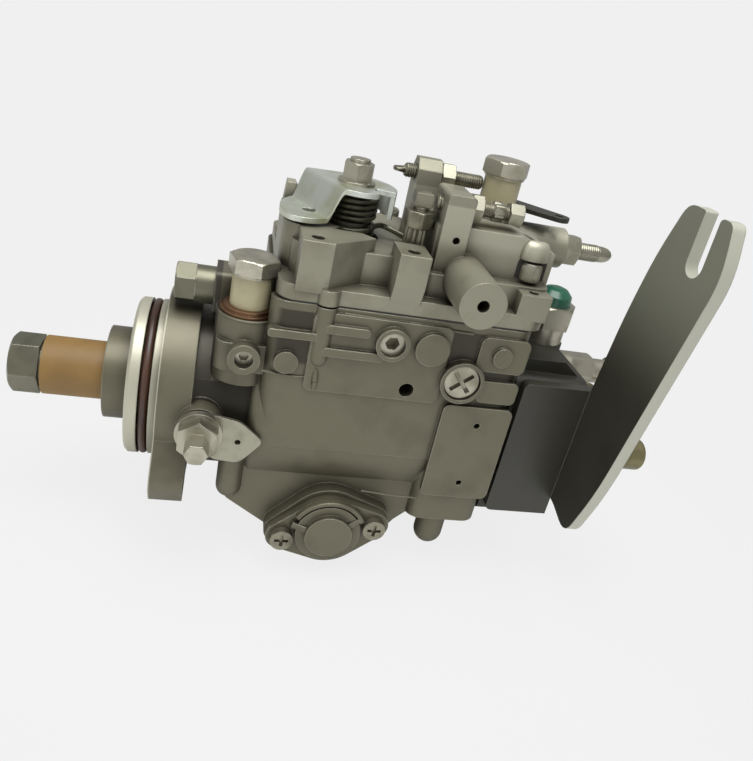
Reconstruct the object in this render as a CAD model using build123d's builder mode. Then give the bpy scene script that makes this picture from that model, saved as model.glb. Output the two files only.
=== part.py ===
from build123d import *
import os
from math import atan2, cos, degrees, hypot, pi, radians, sin, tan

# Rotary diesel injection pump, in millimetres. The drive axis is X, with the origin where it meets
# the mounting face of the flange. The drive end points to -X, the outlets to +X, the cover to +Z.
# The near side, at -Y, carries the inlet, the lock screw and the timing cover.

os.makedirs("parts", exist_ok=True)

# Clearances
running = 0.05
slip = 0.15
air = 0.4

# Front end of the housing
pilot_radius = 34.0
pilot_length = 12.6
pilot_chamfer = 1.2
hub_radius = 20.0
hub_length = 10.6
groove_middle = 5.3
groove_width = 4.4
ring_section = 3.6

# Mounting flange with three slotted ears
flange_radius = 40.0
flange_thickness = 13.5
ear_circle = 47.0
ear_angles = (35, 215, 325)
ear_radius = 7.6
slot_radius = 4.3
slot_travel = 7.0

# Housing body
neck_radius = 35.0
body_front = 24.0
barrel_front = 36.0
barrel_edge = 4.0
body_rear = 144.0
barrel_radius = 42.0
body_half_width = 42.0
box_front = 38.5
joint_height = 59.5
gasket_thickness = 0.8
bore_radius = 31.0
bore_front = 20.0
body_corner = 7.0
column_x = 59.2
column_radius = 4.4
column_foot = 38.0
chamber_front = 45.5
chamber_rear = 129.0
chamber_half_width = 28.0
chamber_floor = 12.0
rear_block_front = 111.0
rear_block_floor = -35.5

# Drive line
journal_radius = 10.0
bush_radius = 12.5
bush_length = 29.0
seal_radius = 15.0
seal_length = 9.0
taper_length = 25.5
taper_end_radius = 8.4
sleeve_radius = 12.6
sleeve_bore_radius = 10.3
sleeve_lip = 1.6
thread_radius = 7.0
nut_flats = 22.0
nut_length = 11.5
nut_gap = 1.2
key_width = 4.0
key_radius = 6.5
claw_length = 8.0

# Feed pump
feed_ring_length = 15.5
feed_plate_length = 5.0
feed_offset = 2.4
feed_rotor_radius = 20.0
vane_count = 4
vane_thickness = 3.0

# Governor drive
gear_module = 1.25
drive_teeth = 36
governor_teeth = 24
gear_width = 8.0
gear_front = 47.0
gear_backlash = 0.12
governor_height = gear_module * (drive_teeth + governor_teeth) / 2
governor_shaft_radius = 3.5
carrier_radius = 20.0
weight_count = 4
weight_length = 9.0
weight_width = 12.0
weight_pivot_radius = 14.0
weight_pivot_eye = 1.2
governor_shaft_front = 30.0
governor_sleeve_radius = 6.0
governor_sleeve_length = 34.0
sleeve_travel = 3.0

# Roller ring, cam disc and plunger
roller_ring_length = 16.0
roller_ring_bore = 14.0
roller_count = 4
roller_radius = 5.0
roller_length = 11.0
roller_journal = 2.0
roller_inner = 16.0
cam_lobe_height = 2.2
cam_lobe_radius = 25.0
cam_disc_radius = 29.0
cam_disc_length = 8.0
plunger_radius = 6.0
collar_radius = 12.5
collar_length = 13.0
collar_middle = 113.0
plunger_spring_radius = 4.5
plunger_spring_offset = 21.0

# Governor lever
lever_pivot_height = 24.0
lever_ball_height = 10.5
lever_ball_radius = 2.5
lever_pin_radius = 3.0

# Timing device
timing_x = 76.0
timing_height = -42.0
timing_bore_radius = 10.0
timing_wall = 8.5
timing_half_width = 43.0
timing_piston_length = 56.0
timing_travel = 8.0
timing_screw_offset = 20.0
timing_screw_tilt = 12.0
timing_cover_thickness = 4.0
timing_boss_radius = 10.2
timing_boss_height = 8.5

# Ports on top
inlet_x = 31.3
inlet_y = -26.0
inlet_top = 47.5
overflow_x = 128.0
overflow_y = -1.0
overflow_top = 95.0
banjo_flats = 17.2
banjo_head = 7.0
port_sleeve_radius = 7.7
port_sleeve_length = 12.6
port_thread_radius = 5.0
washer_radius = 11.2
washer_thickness = 1.3
washer_step = 1.4
port_boss_radius = 12.2

# Pressure valve at the top of the flange
valve_y = -8.0
valve_height = 48.6
valve_radius = 8.4
valve_front = 2.0
valve_rear = 17.5

# Lock screw and tag washer
lock_x = 17.5
lock_height = 1.5
lock_boss_y = -43.0
lock_boss_radius = 9.0

# Cover
cover_front = 40.0
cover_rear = 147.0
cover_rim = 6.0
cover_wall = 7.0
upper_front = 97.0
upper_roof = overflow_top - 1.0
lug_height = 84.0
rear_lug_height = 75.0
lug_positions = (52.0, 88.0)
rear_lug_x = 139.0
side_boss_x = 111.0
side_boss_height = 75.0
side_boss_radius = 8.9
side_boss_face = -62.0

cover_bolts = ((141.0, -22.0), (141.0, 25.0), (54.0, 35.0), (92.0, 36.0))
bolt_radius = 2.5
bolt_depth = 14.0
bolt_head_radius = 4.5
bolt_head_length = 8.0
bolt_socket_flats = 4.0

# Throttle
throttle_x = 67.0
throttle_y = -8.0
throttle_radius = 4.0
throttle_plate = 2.5
throttle_low = 85.0
throttle_high = 96.5
throttle_nut_flats = 11.0
return_spring_radius = 9.6
return_wire = 1.1

# Adjusting screws
idle_height = 106.0
idle_y = 0.0
full_load_y = 10.0
full_load_height = 82.0

full_load_boss_end = 167.0
speed_y = -23.0
speed_height = 100.4
stack_spot = (91.0, -22.0)
stop_spot = (137.0, 18.0)
stop_tip = (158.0, 1.0)
stop_height = 96.0
stop_radius = 3.5
throttle_neck_radius = 8.0
cavity_roof = 72.0
crank_offset = 5.0
tag_thickness = 1.5

# Distributor head, outlets and solenoid
head_front = body_rear + 0.8
head_rear = 178.0
head_half_width = 37.0
head_floor = -33.0
head_shoulder = 37.0
head_top = 43.0
spigot_length = 14.0
outlet_circle = 28.0
outlet_count = 4
outlet_collar_radius = 8.0
outlet_flats = 14.0
outlet_thread_radius = 5.9
cap_radius = 6.6
solenoid_x = 165.5
solenoid_y = -4.0

solenoid_radius = 9.0
solenoid_bore_radius = 6.0
solenoid_bore_floor = 28.0
armature_radius = 3.0
armature_travel = 1.5
plug_radius = 8.0
head_seat = 171.0
bracket_bolt_spots = ((158.0, -12.0), (158.0, 20.0))
head_bolt_spots = ((-31.0, -27.0), (31.0, -27.0), (-31.0, 31.0), (31.0, 31.0))

# Rear bracket, one bent plate
bracket_thickness = 5.0
bracket_x = 176.0
bracket_foot_front = 146.5
bracket_foot_floor = -28.0
bracket_foot_top = 37.0
bracket_lean = 10.2
bracket_top = 122.5
bracket_width = 37.0
bracket_slot_width = 9.6
bracket_slot_floor = 105.0
bracket_slot_y = -74.0

# Places along the drive axis that follow from the sizes above
hub_face = -pilot_length - hub_length
taper_start = hub_face - taper_length
nut_start = taper_start - nut_gap - nut_length
feed_ring_front = bore_front + 1.0
feed_plate_front = feed_ring_front + feed_ring_length
gear_rear = gear_front + gear_width
roller_ring_front = timing_x - roller_ring_length / 2
roller_ring_rear = roller_ring_front + roller_ring_length
cam_low_face = roller_ring_rear + 4.2
cam_rear = cam_low_face + cam_disc_length
roller_middle = cam_low_face - cam_lobe_height - running - roller_radius
spigot_front = head_front - spigot_length
cover_floor = joint_height + gasket_thickness
cover_roof = cavity_roof + cover_wall
cover_seat = cavity_roof + 1.5
throttle_seat = cavity_roof + 5.0
crank_height = cavity_roof - 5.0
lever_top = crank_height
governor_spring_height = crank_height - 4.5
shaft_rear = roller_ring_front - 4.0
weight_pivot_x = gear_rear + 4.5
sleeve_front = gear_rear + 5.9
sleeve_rear = sleeve_front + governor_sleeve_length


def across(x):
    # plane square to the drive axis, drawn with Y and Z
    return Plane.YZ.offset(x)


def forward(x):
    # plane square to the drive axis that grows towards the drive end, drawn with -Y and Z
    return Plane(origin=(x, 0, 0), x_dir=(0, -1, 0), z_dir=(-1, 0, 0))


def near(y):
    # plane facing the near side, drawn with X and Z, growing towards -Y
    return Plane.XZ.offset(-y)


def far(y):
    # plane facing the far side, drawn with X reversed and Z, growing towards +Y
    return Plane(origin=(0, y, 0), x_dir=(-1, 0, 0), z_dir=(0, 1, 0))


def level(z):
    # horizontal plane, drawn with X and Y
    return Plane.XY.offset(z)


def rod(plane, radius, length, at=(0, 0), mode=Mode.ADD):
    with BuildSketch(plane) as section:
        with Locations(at):
            Circle(radius)
    extrude(section.sketch, amount=length, mode=mode)


def tube(plane, outer, inner, length, at=(0, 0), mode=Mode.ADD):
    with BuildSketch(plane) as section:
        with Locations(at):
            Circle(outer)
            Circle(inner, mode=Mode.SUBTRACT)
    extrude(section.sketch, amount=length, mode=mode)


def hexagon(plane, flats, length, at=(0, 0), turn=0, mode=Mode.ADD):
    with BuildSketch(plane) as section:
        with Locations(at):
            RegularPolygon(flats / 2, 6, major_radius=False, rotation=turn)
    extrude(section.sketch, amount=length, mode=mode)


def hex_head(plane, flats, length, at=(0, 0), turn=0):
    # hexagon with the corners of its outer end rounded off by a cone
    corner = flats / 2 / cos(radians(30))
    drop = (corner - flats / 2) * 0.6
    with BuildPart(mode=Mode.PRIVATE) as head:
        hexagon(Plane.XY, flats, length, turn=turn)
        with BuildSketch(Plane.XZ) as outline:
            with BuildLine():
                Polyline((0, 0), (corner, 0), (corner, length - drop), (flats / 2, length), (0, length),
                         close=True)
            make_face()
        revolve(axis=Axis.Z, mode=Mode.INTERSECT)
    add(head.part.moved(plane.location * Pos(at[0], at[1], 0)))


def block(plane, low, high, length, corner=0.0, mode=Mode.ADD):
    middle = ((low[0] + high[0]) / 2, (low[1] + high[1]) / 2)
    with BuildSketch(plane) as section:
        with Locations(middle):
            if corner:
                RectangleRounded(high[0] - low[0], high[1] - low[1], corner)
            else:
                Rectangle(high[0] - low[0], high[1] - low[1])
    extrude(section.sketch, amount=length, mode=mode)


def turned(points, plane=Plane.XY, mode=Mode.ADD):
    # solid of revolution about the plane's own x axis, from (along, radius) points
    with BuildSketch(plane) as section:
        with BuildLine():
            Polyline(*points, close=True)
        make_face()
    revolve(section.sketch, axis=Axis(plane.origin, plane.x_dir), mode=mode)


def coil(plane, radius, wire, pitch, turns, at=(0, 0, 0), mode=Mode.ADD):
    # round wire wound into a helix that climbs along the plane's own normal
    with BuildPart(mode=Mode.PRIVATE) as spring:
        with BuildLine() as path:
            Helix(pitch, pitch * turns, radius)
        with BuildSketch(path.line ^ 0) as section:
            Circle(wire)
        sweep(section.sketch, path=path.line)
    add(spring.part.moved(plane.location * Pos(*at)), mode=mode)


def save(piece, name):
    piece.part.label = name
    export_step(piece.part, f"parts/{name}.step")
    print(name, len(piece.part.solids()), round(piece.part.volume))


# Housing casting: hub, pilot, slotted flange, barrel, governor box and timing cylinder
with BuildPart() as housing:
    rod(across(hub_face), hub_radius, hub_length)
    rod(across(-pilot_length), pilot_radius, pilot_length)
    pilot_rims = housing.edges().filter_by(GeomType.CIRCLE).sort_by(SortBy.RADIUS)[-2:]
    chamfer(pilot_rims.sort_by(Axis.X)[0], pilot_chamfer)
    rod(across(barrel_front), barrel_radius, rear_block_front - barrel_front + 4)
    barrel_rims = housing.edges().filter_by(GeomType.CIRCLE).sort_by(SortBy.RADIUS)[-2:]
    fillet(barrel_rims.sort_by(Axis.X)[0], barrel_edge)
    rod(across(0), flange_radius, flange_thickness)
    for angle in ear_angles:
        with BuildSketch(across(0)) as ear:
            Circle(flange_radius * 0.7)
            with PolarLocations(ear_circle, 1, start_angle=angle):
                with Locations((0, -slot_travel / 2), (0, slot_travel / 2)):
                    Circle(ear_radius)
            make_hull()
        extrude(amount=flange_thickness)
    rod(across(0), neck_radius, barrel_front + barrel_edge)
    # shoulder below the inlet, left of the governor box
    block(level(26), (body_front - 4, -38), (box_front + 8, 30), 12, corner=5)
    # governor box
    block(level(-4), (box_front, -body_half_width), (body_rear, body_half_width), joint_height + 4, body_corner)
    # square rear block that takes the distributor head
    block(level(rear_block_floor), (rear_block_front, -body_half_width), (body_rear, body_half_width),
          -rear_block_floor + 4, body_corner)
    # timing cylinder and the web that runs down to it
    with BuildSketch(near(timing_half_width - 6)) as web:
        with BuildLine():
            Polyline((26, -14), (31, -35), (50, -48), (68, timing_height - 18.5), (86, timing_height - 18.5),
                     (100, -52), (107, -41), (116, -32), (116, -16), close=True)
        make_face()
        fillet(web.vertices().group_by(Axis.Y)[:-2], 4)
    extrude(amount=2 * (timing_half_width - 6))
    rod(near(timing_half_width), timing_bore_radius + timing_wall, 2 * timing_half_width,
        at=(timing_x, timing_height))
    for end in (near(-timing_half_width), far(timing_half_width)):
        side = 1 if end.z_dir.Y < 0 else -1
        with BuildSketch(end) as seat:
            for way in (-1, 1):
                lean = radians(timing_screw_tilt)
                reach = way * timing_screw_offset
                with Locations((side * (timing_x + reach * cos(lean)), timing_height + reach * sin(lean))):
                    Circle(7.5)
            with Locations((side * timing_x, timing_height)):
                Circle(timing_bore_radius + timing_wall)
            make_hull()
        extrude(amount=-12)
    # rounded pillar under the rear block
    rod(level(-47.4), 6.6, 30, at=(126, -33))
    with Locations((126, -33, -47.4)):
        Sphere(6.6)
    # smaller pillar under the tag washer
    rod(level(-29), 5.4, 24, at=(32, -35.5))
    with Locations((32, -35.5, -29)):
        Sphere(5.4)
    # inlet boss and pressure valve boss
    rod(level(20), port_boss_radius, inlet_top - 20, at=(inlet_x, inlet_y))
    block(across(valve_rear), (valve_y - 9, valve_height - 10), (valve_y + 9, valve_height + 9),
          box_front - valve_rear + 4, corner=3)
    block(level(30), (valve_rear + 4, valve_y - 12), (box_front + 4, valve_y + 14), 12, corner=3)
    # raised bare plate, side ribs, column, ledge and bosses on the near side
    block(near(-body_half_width), (113.5, -21), (body_rear, 24.6), 2.2, corner=3)
    block(near(-body_half_width), (122, 41), (body_rear - 1, 56), 1.6, corner=3)
    block(near(-body_half_width), (126, 27), (body_rear - 1, 37), 1.8, corner=2.5)
    block(near(-body_half_width), (55, 24), (110, 57.5), 1.2, corner=3)
    for height, end in ((42, 84), (51.5, 77)):
        block(near(-body_half_width), (60, height - 1.8), (end, height + 1.8), 3, corner=1.5)
    block(near(-body_half_width + 2), (box_front, 45.5), (60, 48.7), 4.2, corner=1.2)
    rod(level(column_foot), column_radius, joint_height - column_foot, at=(column_x, -body_half_width + 1.5))
    with Locations((column_x, -body_half_width + 1.5, column_foot)):
        Sphere(column_radius)
    for spot, radius, height in (((31.2, 33.7), 6.2, 1), ((47, 35), 4.7, 1.8), ((86.3, 48.5), 6.8, 4.2),
                                 ((102.6, 48), 7, 3), ((118, 35.4), 9.2, 3.6), ((132, 48.3), 4.2, 3.2)):
        rod(near(-body_half_width + 5), radius, height + 5, at=spot)
    rod(near(-neck_radius + 3), lock_boss_radius, -neck_radius + 3 - lock_boss_y, at=(lock_x, lock_height))
    # governor shaft boss in the recess above the flange
    rod(across(body_front), 8, box_front - body_front, at=(0, governor_height))

    # main bore, chamber and bores at the front end
    rod(across(bore_front), bore_radius, body_rear - bore_front, mode=Mode.SUBTRACT)
    block(level(chamber_floor), (chamber_front, -chamber_half_width), (chamber_rear, chamber_half_width),
          joint_height - chamber_floor, corner=6, mode=Mode.SUBTRACT)
    rod(across(hub_face), bush_radius, bore_front - hub_face, mode=Mode.SUBTRACT)
    rod(across(hub_face), seal_radius, seal_length, mode=Mode.SUBTRACT)
    rod(across(governor_shaft_front), governor_shaft_radius, chamber_front - governor_shaft_front,
        at=(0, governor_height), mode=Mode.SUBTRACT)
    tube(across(-groove_middle - groove_width / 2), pilot_radius + 1, pilot_radius - ring_section, groove_width,
         mode=Mode.SUBTRACT)
    for angle in ear_angles:
        with BuildSketch(across(0)) as slot:
            with PolarLocations(ear_circle, 1, start_angle=angle):
                SlotCenterToCenter(slot_travel, 2 * slot_radius, rotation=90)
        extrude(amount=flange_thickness, mode=Mode.SUBTRACT)
    rod(near(timing_half_width), timing_bore_radius, 2 * timing_half_width, at=(timing_x, timing_height),
        mode=Mode.SUBTRACT)
    # slot that lets the slide pin reach from the roller ring into the timing piston
    with BuildSketch(level(timing_height)) as pin_slot:
        with Locations((timing_x, timing_travel / 2 - 0.5)):
            SlotCenterToCenter(timing_travel + 4, 7.4, rotation=90)
    extrude(amount=-timing_height - bore_radius + 4, mode=Mode.SUBTRACT)
    for way in (-1, 1):
        lean = radians(timing_screw_tilt)
        reach = way * timing_screw_offset
        spot = (timing_x + reach * cos(lean), timing_height + reach * sin(lean))
        rod(near(-timing_half_width), 2.5, -12, at=spot, mode=Mode.SUBTRACT)
        rod(near(timing_half_width), 2.5, 12, at=spot, mode=Mode.SUBTRACT)
    rod(near(chamber_half_width + 10), lever_pin_radius, 2 * chamber_half_width + 20,
        at=(collar_middle, lever_pivot_height), mode=Mode.SUBTRACT)
    # bolt holes for the cover and the head, then threaded ports and blind holes
    for spot in cover_bolts:
        rod(level(joint_height), bolt_radius, -bolt_depth, at=spot, mode=Mode.SUBTRACT)
    for spot in head_bolt_spots:
        rod(across(body_rear), bolt_radius, -bolt_depth, at=spot, mode=Mode.SUBTRACT)
    rod(level(inlet_top), port_thread_radius, -20, at=(inlet_x, inlet_y), mode=Mode.SUBTRACT)
    rod(level(inlet_top), washer_radius + air, joint_height, at=(inlet_x, inlet_y), mode=Mode.SUBTRACT)
    rod(across(valve_rear), 6, 16, at=(valve_y, valve_height), mode=Mode.SUBTRACT)
    rod(near(lock_boss_y), 4, -10, at=(lock_x, lock_height), mode=Mode.SUBTRACT)
    for spot, radius, depth in (((31.2, 33.7), 3.6, 6), ((96.4, 28.7), 3, 8), ((86.3, 48.5), 5, 8),
                                ((118, 35.4), 7.6, 4), ((129.9, 15.9), 1.3, 6), ((129.5, -13.2), 1.3, 6)):
        rod(near(-body_half_width - 5), radius, -depth - 5, at=spot, mode=Mode.SUBTRACT)
save(housing, "pump_housing")

# O-ring seated in the groove round the pilot, drawn as it lies once fitted
with BuildPart() as pilot_o_ring:
    with BuildSketch(Plane.XZ) as section:
        with Locations((-groove_middle, pilot_radius - ring_section / 2)):
            RectangleRounded(ring_section, ring_section, ring_section / 2 - 0.05)
    revolve(axis=Axis.X)
save(pilot_o_ring, "pilot_o_ring")

# Drive shaft: thread, taper, journal and the two driving claws
with BuildPart() as drive_shaft:
    turned([(nut_start - 1, 0), (nut_start - 1, thread_radius), (taper_start, thread_radius),
            (taper_start + sleeve_lip, thread_radius), (taper_start + sleeve_lip, taper_end_radius),
            (hub_face - 1, journal_radius), (shaft_rear, journal_radius),
            (shaft_rear, 0)], Plane.XZ)
    for way in (-1, 1):
        block(across(shaft_rear), (-4, way * 7.5 - 2.4), (4, way * 7.5 + 2.4), claw_length)
    with BuildSketch(near(key_width / 2)) as key_seat:
        with Locations(((taper_start + hub_face) / 2, taper_end_radius + 1.2)):
            Circle(key_radius)
    extrude(amount=key_width, mode=Mode.SUBTRACT)
save(drive_shaft, "drive_shaft")

# Woodruff key, half sunk in the taper
with BuildPart() as shaft_key:
    with BuildSketch(near(key_width / 2)) as disc:
        with Locations(((taper_start + hub_face) / 2, taper_end_radius + 1.2)):
            Circle(key_radius)
            with Locations((0, key_radius + 0.2)):
                Rectangle(2 * key_radius, 2 * key_radius, mode=Mode.SUBTRACT)
    extrude(amount=key_width)
save(shaft_key, "shaft_key")

# Spacer sleeve held on the taper by the nut
with BuildPart() as shaft_sleeve:
    tube(across(taper_start), sleeve_radius, sleeve_bore_radius, taper_length - air)
    tube(across(taper_start), sleeve_radius, thread_radius + air, sleeve_lip - air)
    block(across(taper_start + sleeve_lip), (-key_width / 2 - slip, 0), (key_width / 2 + slip, sleeve_radius - 1),
          taper_length, mode=Mode.SUBTRACT)
save(shaft_sleeve, "shaft_sleeve")

with BuildPart() as shaft_nut:
    hex_head(forward(nut_start + nut_length), nut_flats, nut_length)
    rod(across(nut_start + nut_length), 9.5, nut_gap)
    rod(across(nut_start), thread_radius, nut_length + nut_gap, mode=Mode.SUBTRACT)
save(shaft_nut, "shaft_nut")

with BuildPart() as shaft_seal:
    tube(across(hub_face + 0.6), seal_radius, seal_radius - 2, seal_length - 1.2)
    tube(across(hub_face + seal_length - 2.6), seal_radius, journal_radius + running, 2)
save(shaft_seal, "shaft_seal")

with BuildPart() as shaft_bush:
    tube(across(bore_front - bush_length), bush_radius, journal_radius + running, bush_length)
save(shaft_bush, "shaft_bush")

# Vane feed pump: eccentric ring, slotted rotor, vanes and the plate behind them
with BuildPart() as feed_ring:
    rod(across(feed_ring_front), bore_radius - running, feed_ring_length)
    rod(across(feed_ring_front), feed_rotor_radius + feed_offset + 0.3, feed_ring_length, at=(0, feed_offset),
        mode=Mode.SUBTRACT)
save(feed_ring, "feed_pump_ring")

with BuildPart() as feed_rotor:
    tube(across(feed_ring_front + running), feed_rotor_radius, journal_radius, feed_ring_length - 2 * running)
    for turn in range(vane_count):
        with BuildSketch(across(feed_ring_front)) as slot:
            with PolarLocations(feed_rotor_radius - 3.5, 1, start_angle=turn * 360 / vane_count + 45):
                Rectangle(10, vane_thickness)
        extrude(amount=feed_ring_length, mode=Mode.SUBTRACT)
save(feed_rotor, "feed_pump_rotor")

with BuildPart() as feed_vanes:
    for turn in range(vane_count):
        with BuildSketch(across(feed_ring_front + running)) as vane:
            with PolarLocations(feed_rotor_radius - 3.6, 1, start_angle=turn * 360 / vane_count + 45):
                Rectangle(7, vane_thickness - 2 * running)
        extrude(amount=feed_ring_length - 2 * running)
save(feed_vanes, "feed_pump_vanes")

with BuildPart() as feed_plate:
    tube(across(feed_plate_front), bore_radius - running, journal_radius + 0.3, feed_plate_length)
    with BuildSketch(across(feed_plate_front)) as ports:
        for turn in (0, 180):
            with Locations(Rotation(0, 0, turn)):
                SlotArc(CenterArc((0, 0), 16, 60, 60), 4)
    extrude(amount=feed_plate_length, mode=Mode.SUBTRACT)
save(feed_plate, "feed_pump_plate")


def gear_outline(teeth, phase):
    # straight-flanked teeth of the shared module, with working backlash
    pitch_radius = gear_module * teeth / 2
    half = gear_module * pi / 4 - gear_backlash
    slope = tan(radians(20))
    tip = gear_module
    root = 1.25 * gear_module
    points = []
    for tooth in range(teeth):
        middle = phase + tooth * 2 * pi / teeth
        for height, width, side in ((-root, half + root * slope, -1), (tip, half - tip * slope, -1),
                                    (tip, half - tip * slope, 1), (-root, half + root * slope, 1)):
            radius = pitch_radius + height
            angle = middle + side * width / pitch_radius
            points.append((radius * cos(angle), radius * sin(angle)))
    return points


# Drive gear on the shaft, with a tooth pointing up at the governor gear
with BuildPart() as drive_gear:
    with BuildSketch(across(gear_front)) as teeth:
        with BuildLine():
            Polyline(*gear_outline(drive_teeth, pi / 2), close=True)
        make_face()
        Circle(journal_radius, mode=Mode.SUBTRACT)
    extrude(amount=gear_width)
save(drive_gear, "drive_gear")

# Governor carrier: gear, hub and a cage with four pockets for the weights
with BuildPart() as governor_carrier:
    with BuildSketch(across(gear_front)) as teeth:
        with Locations((0, governor_height)):
            with BuildLine():
                Polyline(*[(y, z + governor_height) for y, z in
                           gear_outline(governor_teeth, -pi / 2 + pi / governor_teeth)], close=True)
            make_face()
    extrude(amount=gear_width)
    rod(across(gear_rear), carrier_radius, 3, at=(0, governor_height))
    tube(across(gear_rear + 3), carrier_radius, carrier_radius - 3.5, weight_length, at=(0, governor_height))
    with BuildSketch(across(gear_rear + 3)) as windows:
        with Locations((0, governor_height)):
            with PolarLocations(carrier_radius, weight_count):
                Rectangle(12, weight_width + 2 * air)
    extrude(amount=weight_length, mode=Mode.SUBTRACT)
    rod(across(gear_front), governor_shaft_radius + running, gear_width + 3, at=(0, governor_height),
        mode=Mode.SUBTRACT)
save(governor_carrier, "governor_carrier")

# Centrifugal weights: a block outside the pivot edge and a foot inside it that pushes the sleeve
for number in range(weight_count):
    with BuildPart() as flyweight:
        with BuildSketch(near(weight_width / 2)) as profile:
            with BuildLine():
                Polyline(*[(weight_pivot_x + x, weight_pivot_radius + z) for x, z in
                           ((-0.9, 1.2), (-1.1, -7.4), (1.3, -7.4), (1.3, -2.5), (7.6, -2.5), (7.6, 5.5),
                            (1.5, 5.5))], close=True)
            make_face()
            with Locations((weight_pivot_x, weight_pivot_radius)):
                Circle(weight_pivot_eye)
        extrude(amount=weight_width)
    turn = Rotation(number * 360 / weight_count, 0, 0)
    flyweight.part = flyweight.part.moved(Pos(0, 0, governor_height) * turn)
    save(flyweight, f"flyweight_{number + 1}")

with BuildPart() as governor_shaft:
    rod(across(governor_shaft_front), governor_shaft_radius, sleeve_rear - governor_sleeve_radius - governor_shaft_front,
        at=(0, governor_height))
save(governor_shaft, "governor_shaft")

# Sliding sleeve with a collar for the weights' feet and a domed nose that meets the lever
with BuildPart() as governor_sleeve:
    nose = sleeve_rear - governor_sleeve_radius
    rod(across(sleeve_front), 9, 3, at=(0, governor_height))
    rod(across(sleeve_front), governor_sleeve_radius, nose - sleeve_front, at=(0, governor_height))
    with Locations((nose, 0, governor_height)):
        Sphere(governor_sleeve_radius)
    rod(across(sleeve_front), governor_shaft_radius + running, nose - sleeve_front + 2, at=(0, governor_height),
        mode=Mode.SUBTRACT)
save(governor_sleeve, "governor_sleeve")

# Governor lever: tension arm above the pivot, ball pin below it in the control collar
with BuildPart() as governor_lever:
    face = sleeve_rear + slip
    pivot = collar_middle
    with BuildSketch(near(5)) as arm:
        with BuildLine():
            Polyline((pivot - 1.6, 13), (pivot + 1.6, 13), (pivot + 4, lever_pivot_height), (pivot + 3, 31),
                     (face + 8, 41), (face + 8, lever_top), (face + 4, lever_top), (face + 4, 41), (face, 41),
                     (face, 34),
                     (face + 4, 33), (pivot - 4, 26), (pivot - 4, 21), close=True)
        make_face()
        with Locations((pivot, lever_pivot_height)):
            Circle(lever_pin_radius + running, mode=Mode.SUBTRACT)
    extrude(amount=10)
    rod(level(lever_ball_height), 1.6, 4, at=(pivot, 0))
    with Locations((pivot, 0, lever_ball_height)):
        Sphere(lever_ball_radius)
save(governor_lever, "governor_lever")

with BuildPart() as lever_pin:
    rod(near(chamber_half_width + 10), lever_pin_radius, 2 * chamber_half_width + 20,
        at=(collar_middle, lever_pivot_height))
save(lever_pin, "lever_pin")

with BuildPart() as control_collar:
    tube(across(collar_middle - collar_length / 2), collar_radius, plunger_radius + running, collar_length)
    rod(level(7.2), lever_ball_radius + running, collar_radius, at=(collar_middle, 0), mode=Mode.SUBTRACT)
save(control_collar, "control_collar")

# Cross coupling between the shaft's claws and the cam disc's claws
with BuildPart() as coupling_disc:
    rod(across(shaft_rear + 0.2), 12, claw_length - 0.6)
    for low, high in (((-4.1, 4.9), (4.1, 13)), ((-4.1, -13), (4.1, -4.9)),
                      ((4.9, -4.1), (13, 4.1)), ((-13, -4.1), (-4.9, 4.1))):
        block(across(shaft_rear), low, high, claw_length + 1, mode=Mode.SUBTRACT)
save(coupling_disc, "coupling_disc")

# Roller ring with its pockets and the slide pin that the timing piston moves
with BuildPart() as roller_ring:
    tube(across(roller_ring_front), bore_radius - running, roller_ring_bore, roller_ring_length)
    for turn in range(roller_count):
        angle = turn * 2 * pi / roller_count + pi / 4
        spoke = Plane(origin=(roller_middle, 0, 0), x_dir=(1, 0, 0), z_dir=(0, cos(angle), sin(angle)))
        rod(spoke.offset(roller_inner - 0.5), roller_radius + 0.1, roller_length + 1, mode=Mode.SUBTRACT)
        rod(spoke.offset(roller_ring_bore - 2), roller_journal + running, 16, mode=Mode.SUBTRACT)
    with BuildSketch(level(-bore_radius + 2)) as pin:
        with Locations((timing_x, 0)):
            Circle(3)
    extrude(amount=timing_height + bore_radius - 5)
save(roller_ring, "roller_ring")

with BuildPart() as rollers:
    for turn in range(roller_count):
        angle = turn * 2 * pi / roller_count + pi / 4
        spoke = Plane(origin=(roller_middle, 0, 0), x_dir=(1, 0, 0), z_dir=(0, cos(angle), sin(angle)))
        rod(spoke.offset(roller_inner), roller_radius, roller_length)
        rod(spoke.offset(roller_ring_bore + 0.5), roller_journal, roller_length + 2.5)
save(rollers, "rollers")

# Cam disc with one lobe for each outlet, its hub and two claws
with BuildPart() as cam_disc:
    rod(across(cam_low_face), cam_disc_radius, cam_disc_length)
    rod(across(shaft_rear + claw_length), 12, cam_low_face - shaft_rear - claw_length)
    for way in (-1, 1):
        block(across(shaft_rear + 0.2), (way * 7.5 - 2.4, -4), (way * 7.5 + 2.4, 4), claw_length)
    for turn in range(outlet_count):
        angle = turn * 2 * pi / outlet_count + pi / 4
        spoke = Plane(origin=(cam_low_face, 0, 0), x_dir=(1, 0, 0), z_dir=(0, cos(angle), sin(angle)))
        with BuildSketch(spoke.offset(roller_inner - 1)) as lobe:
            with Locations((cam_lobe_radius - cam_lobe_height, 0)):
                Circle(cam_lobe_radius)
            with Locations((1, 0)):
                Rectangle(4 + 2 * cam_lobe_height, 4 * cam_lobe_radius, mode=Mode.INTERSECT)
        extrude(amount=roller_length)
    rod(across(shaft_rear), cam_disc_radius, cam_rear - shaft_rear, mode=Mode.INTERSECT)
save(cam_disc, "cam_disc")

with BuildPart() as plunger:
    rod(across(cam_rear), 9, 3)
    rod(across(cam_rear), plunger_radius, head_rear - 12 - cam_rear)
save(plunger, "plunger")

with BuildPart() as spring_bridge:
    with BuildSketch(across(cam_rear + 3.4)) as plate:
        SlotCenterToCenter(2 * plunger_spring_offset, 17)
        Circle(plunger_radius + slip, mode=Mode.SUBTRACT)
    extrude(amount=2.6)
save(spring_bridge, "spring_bridge")

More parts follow.
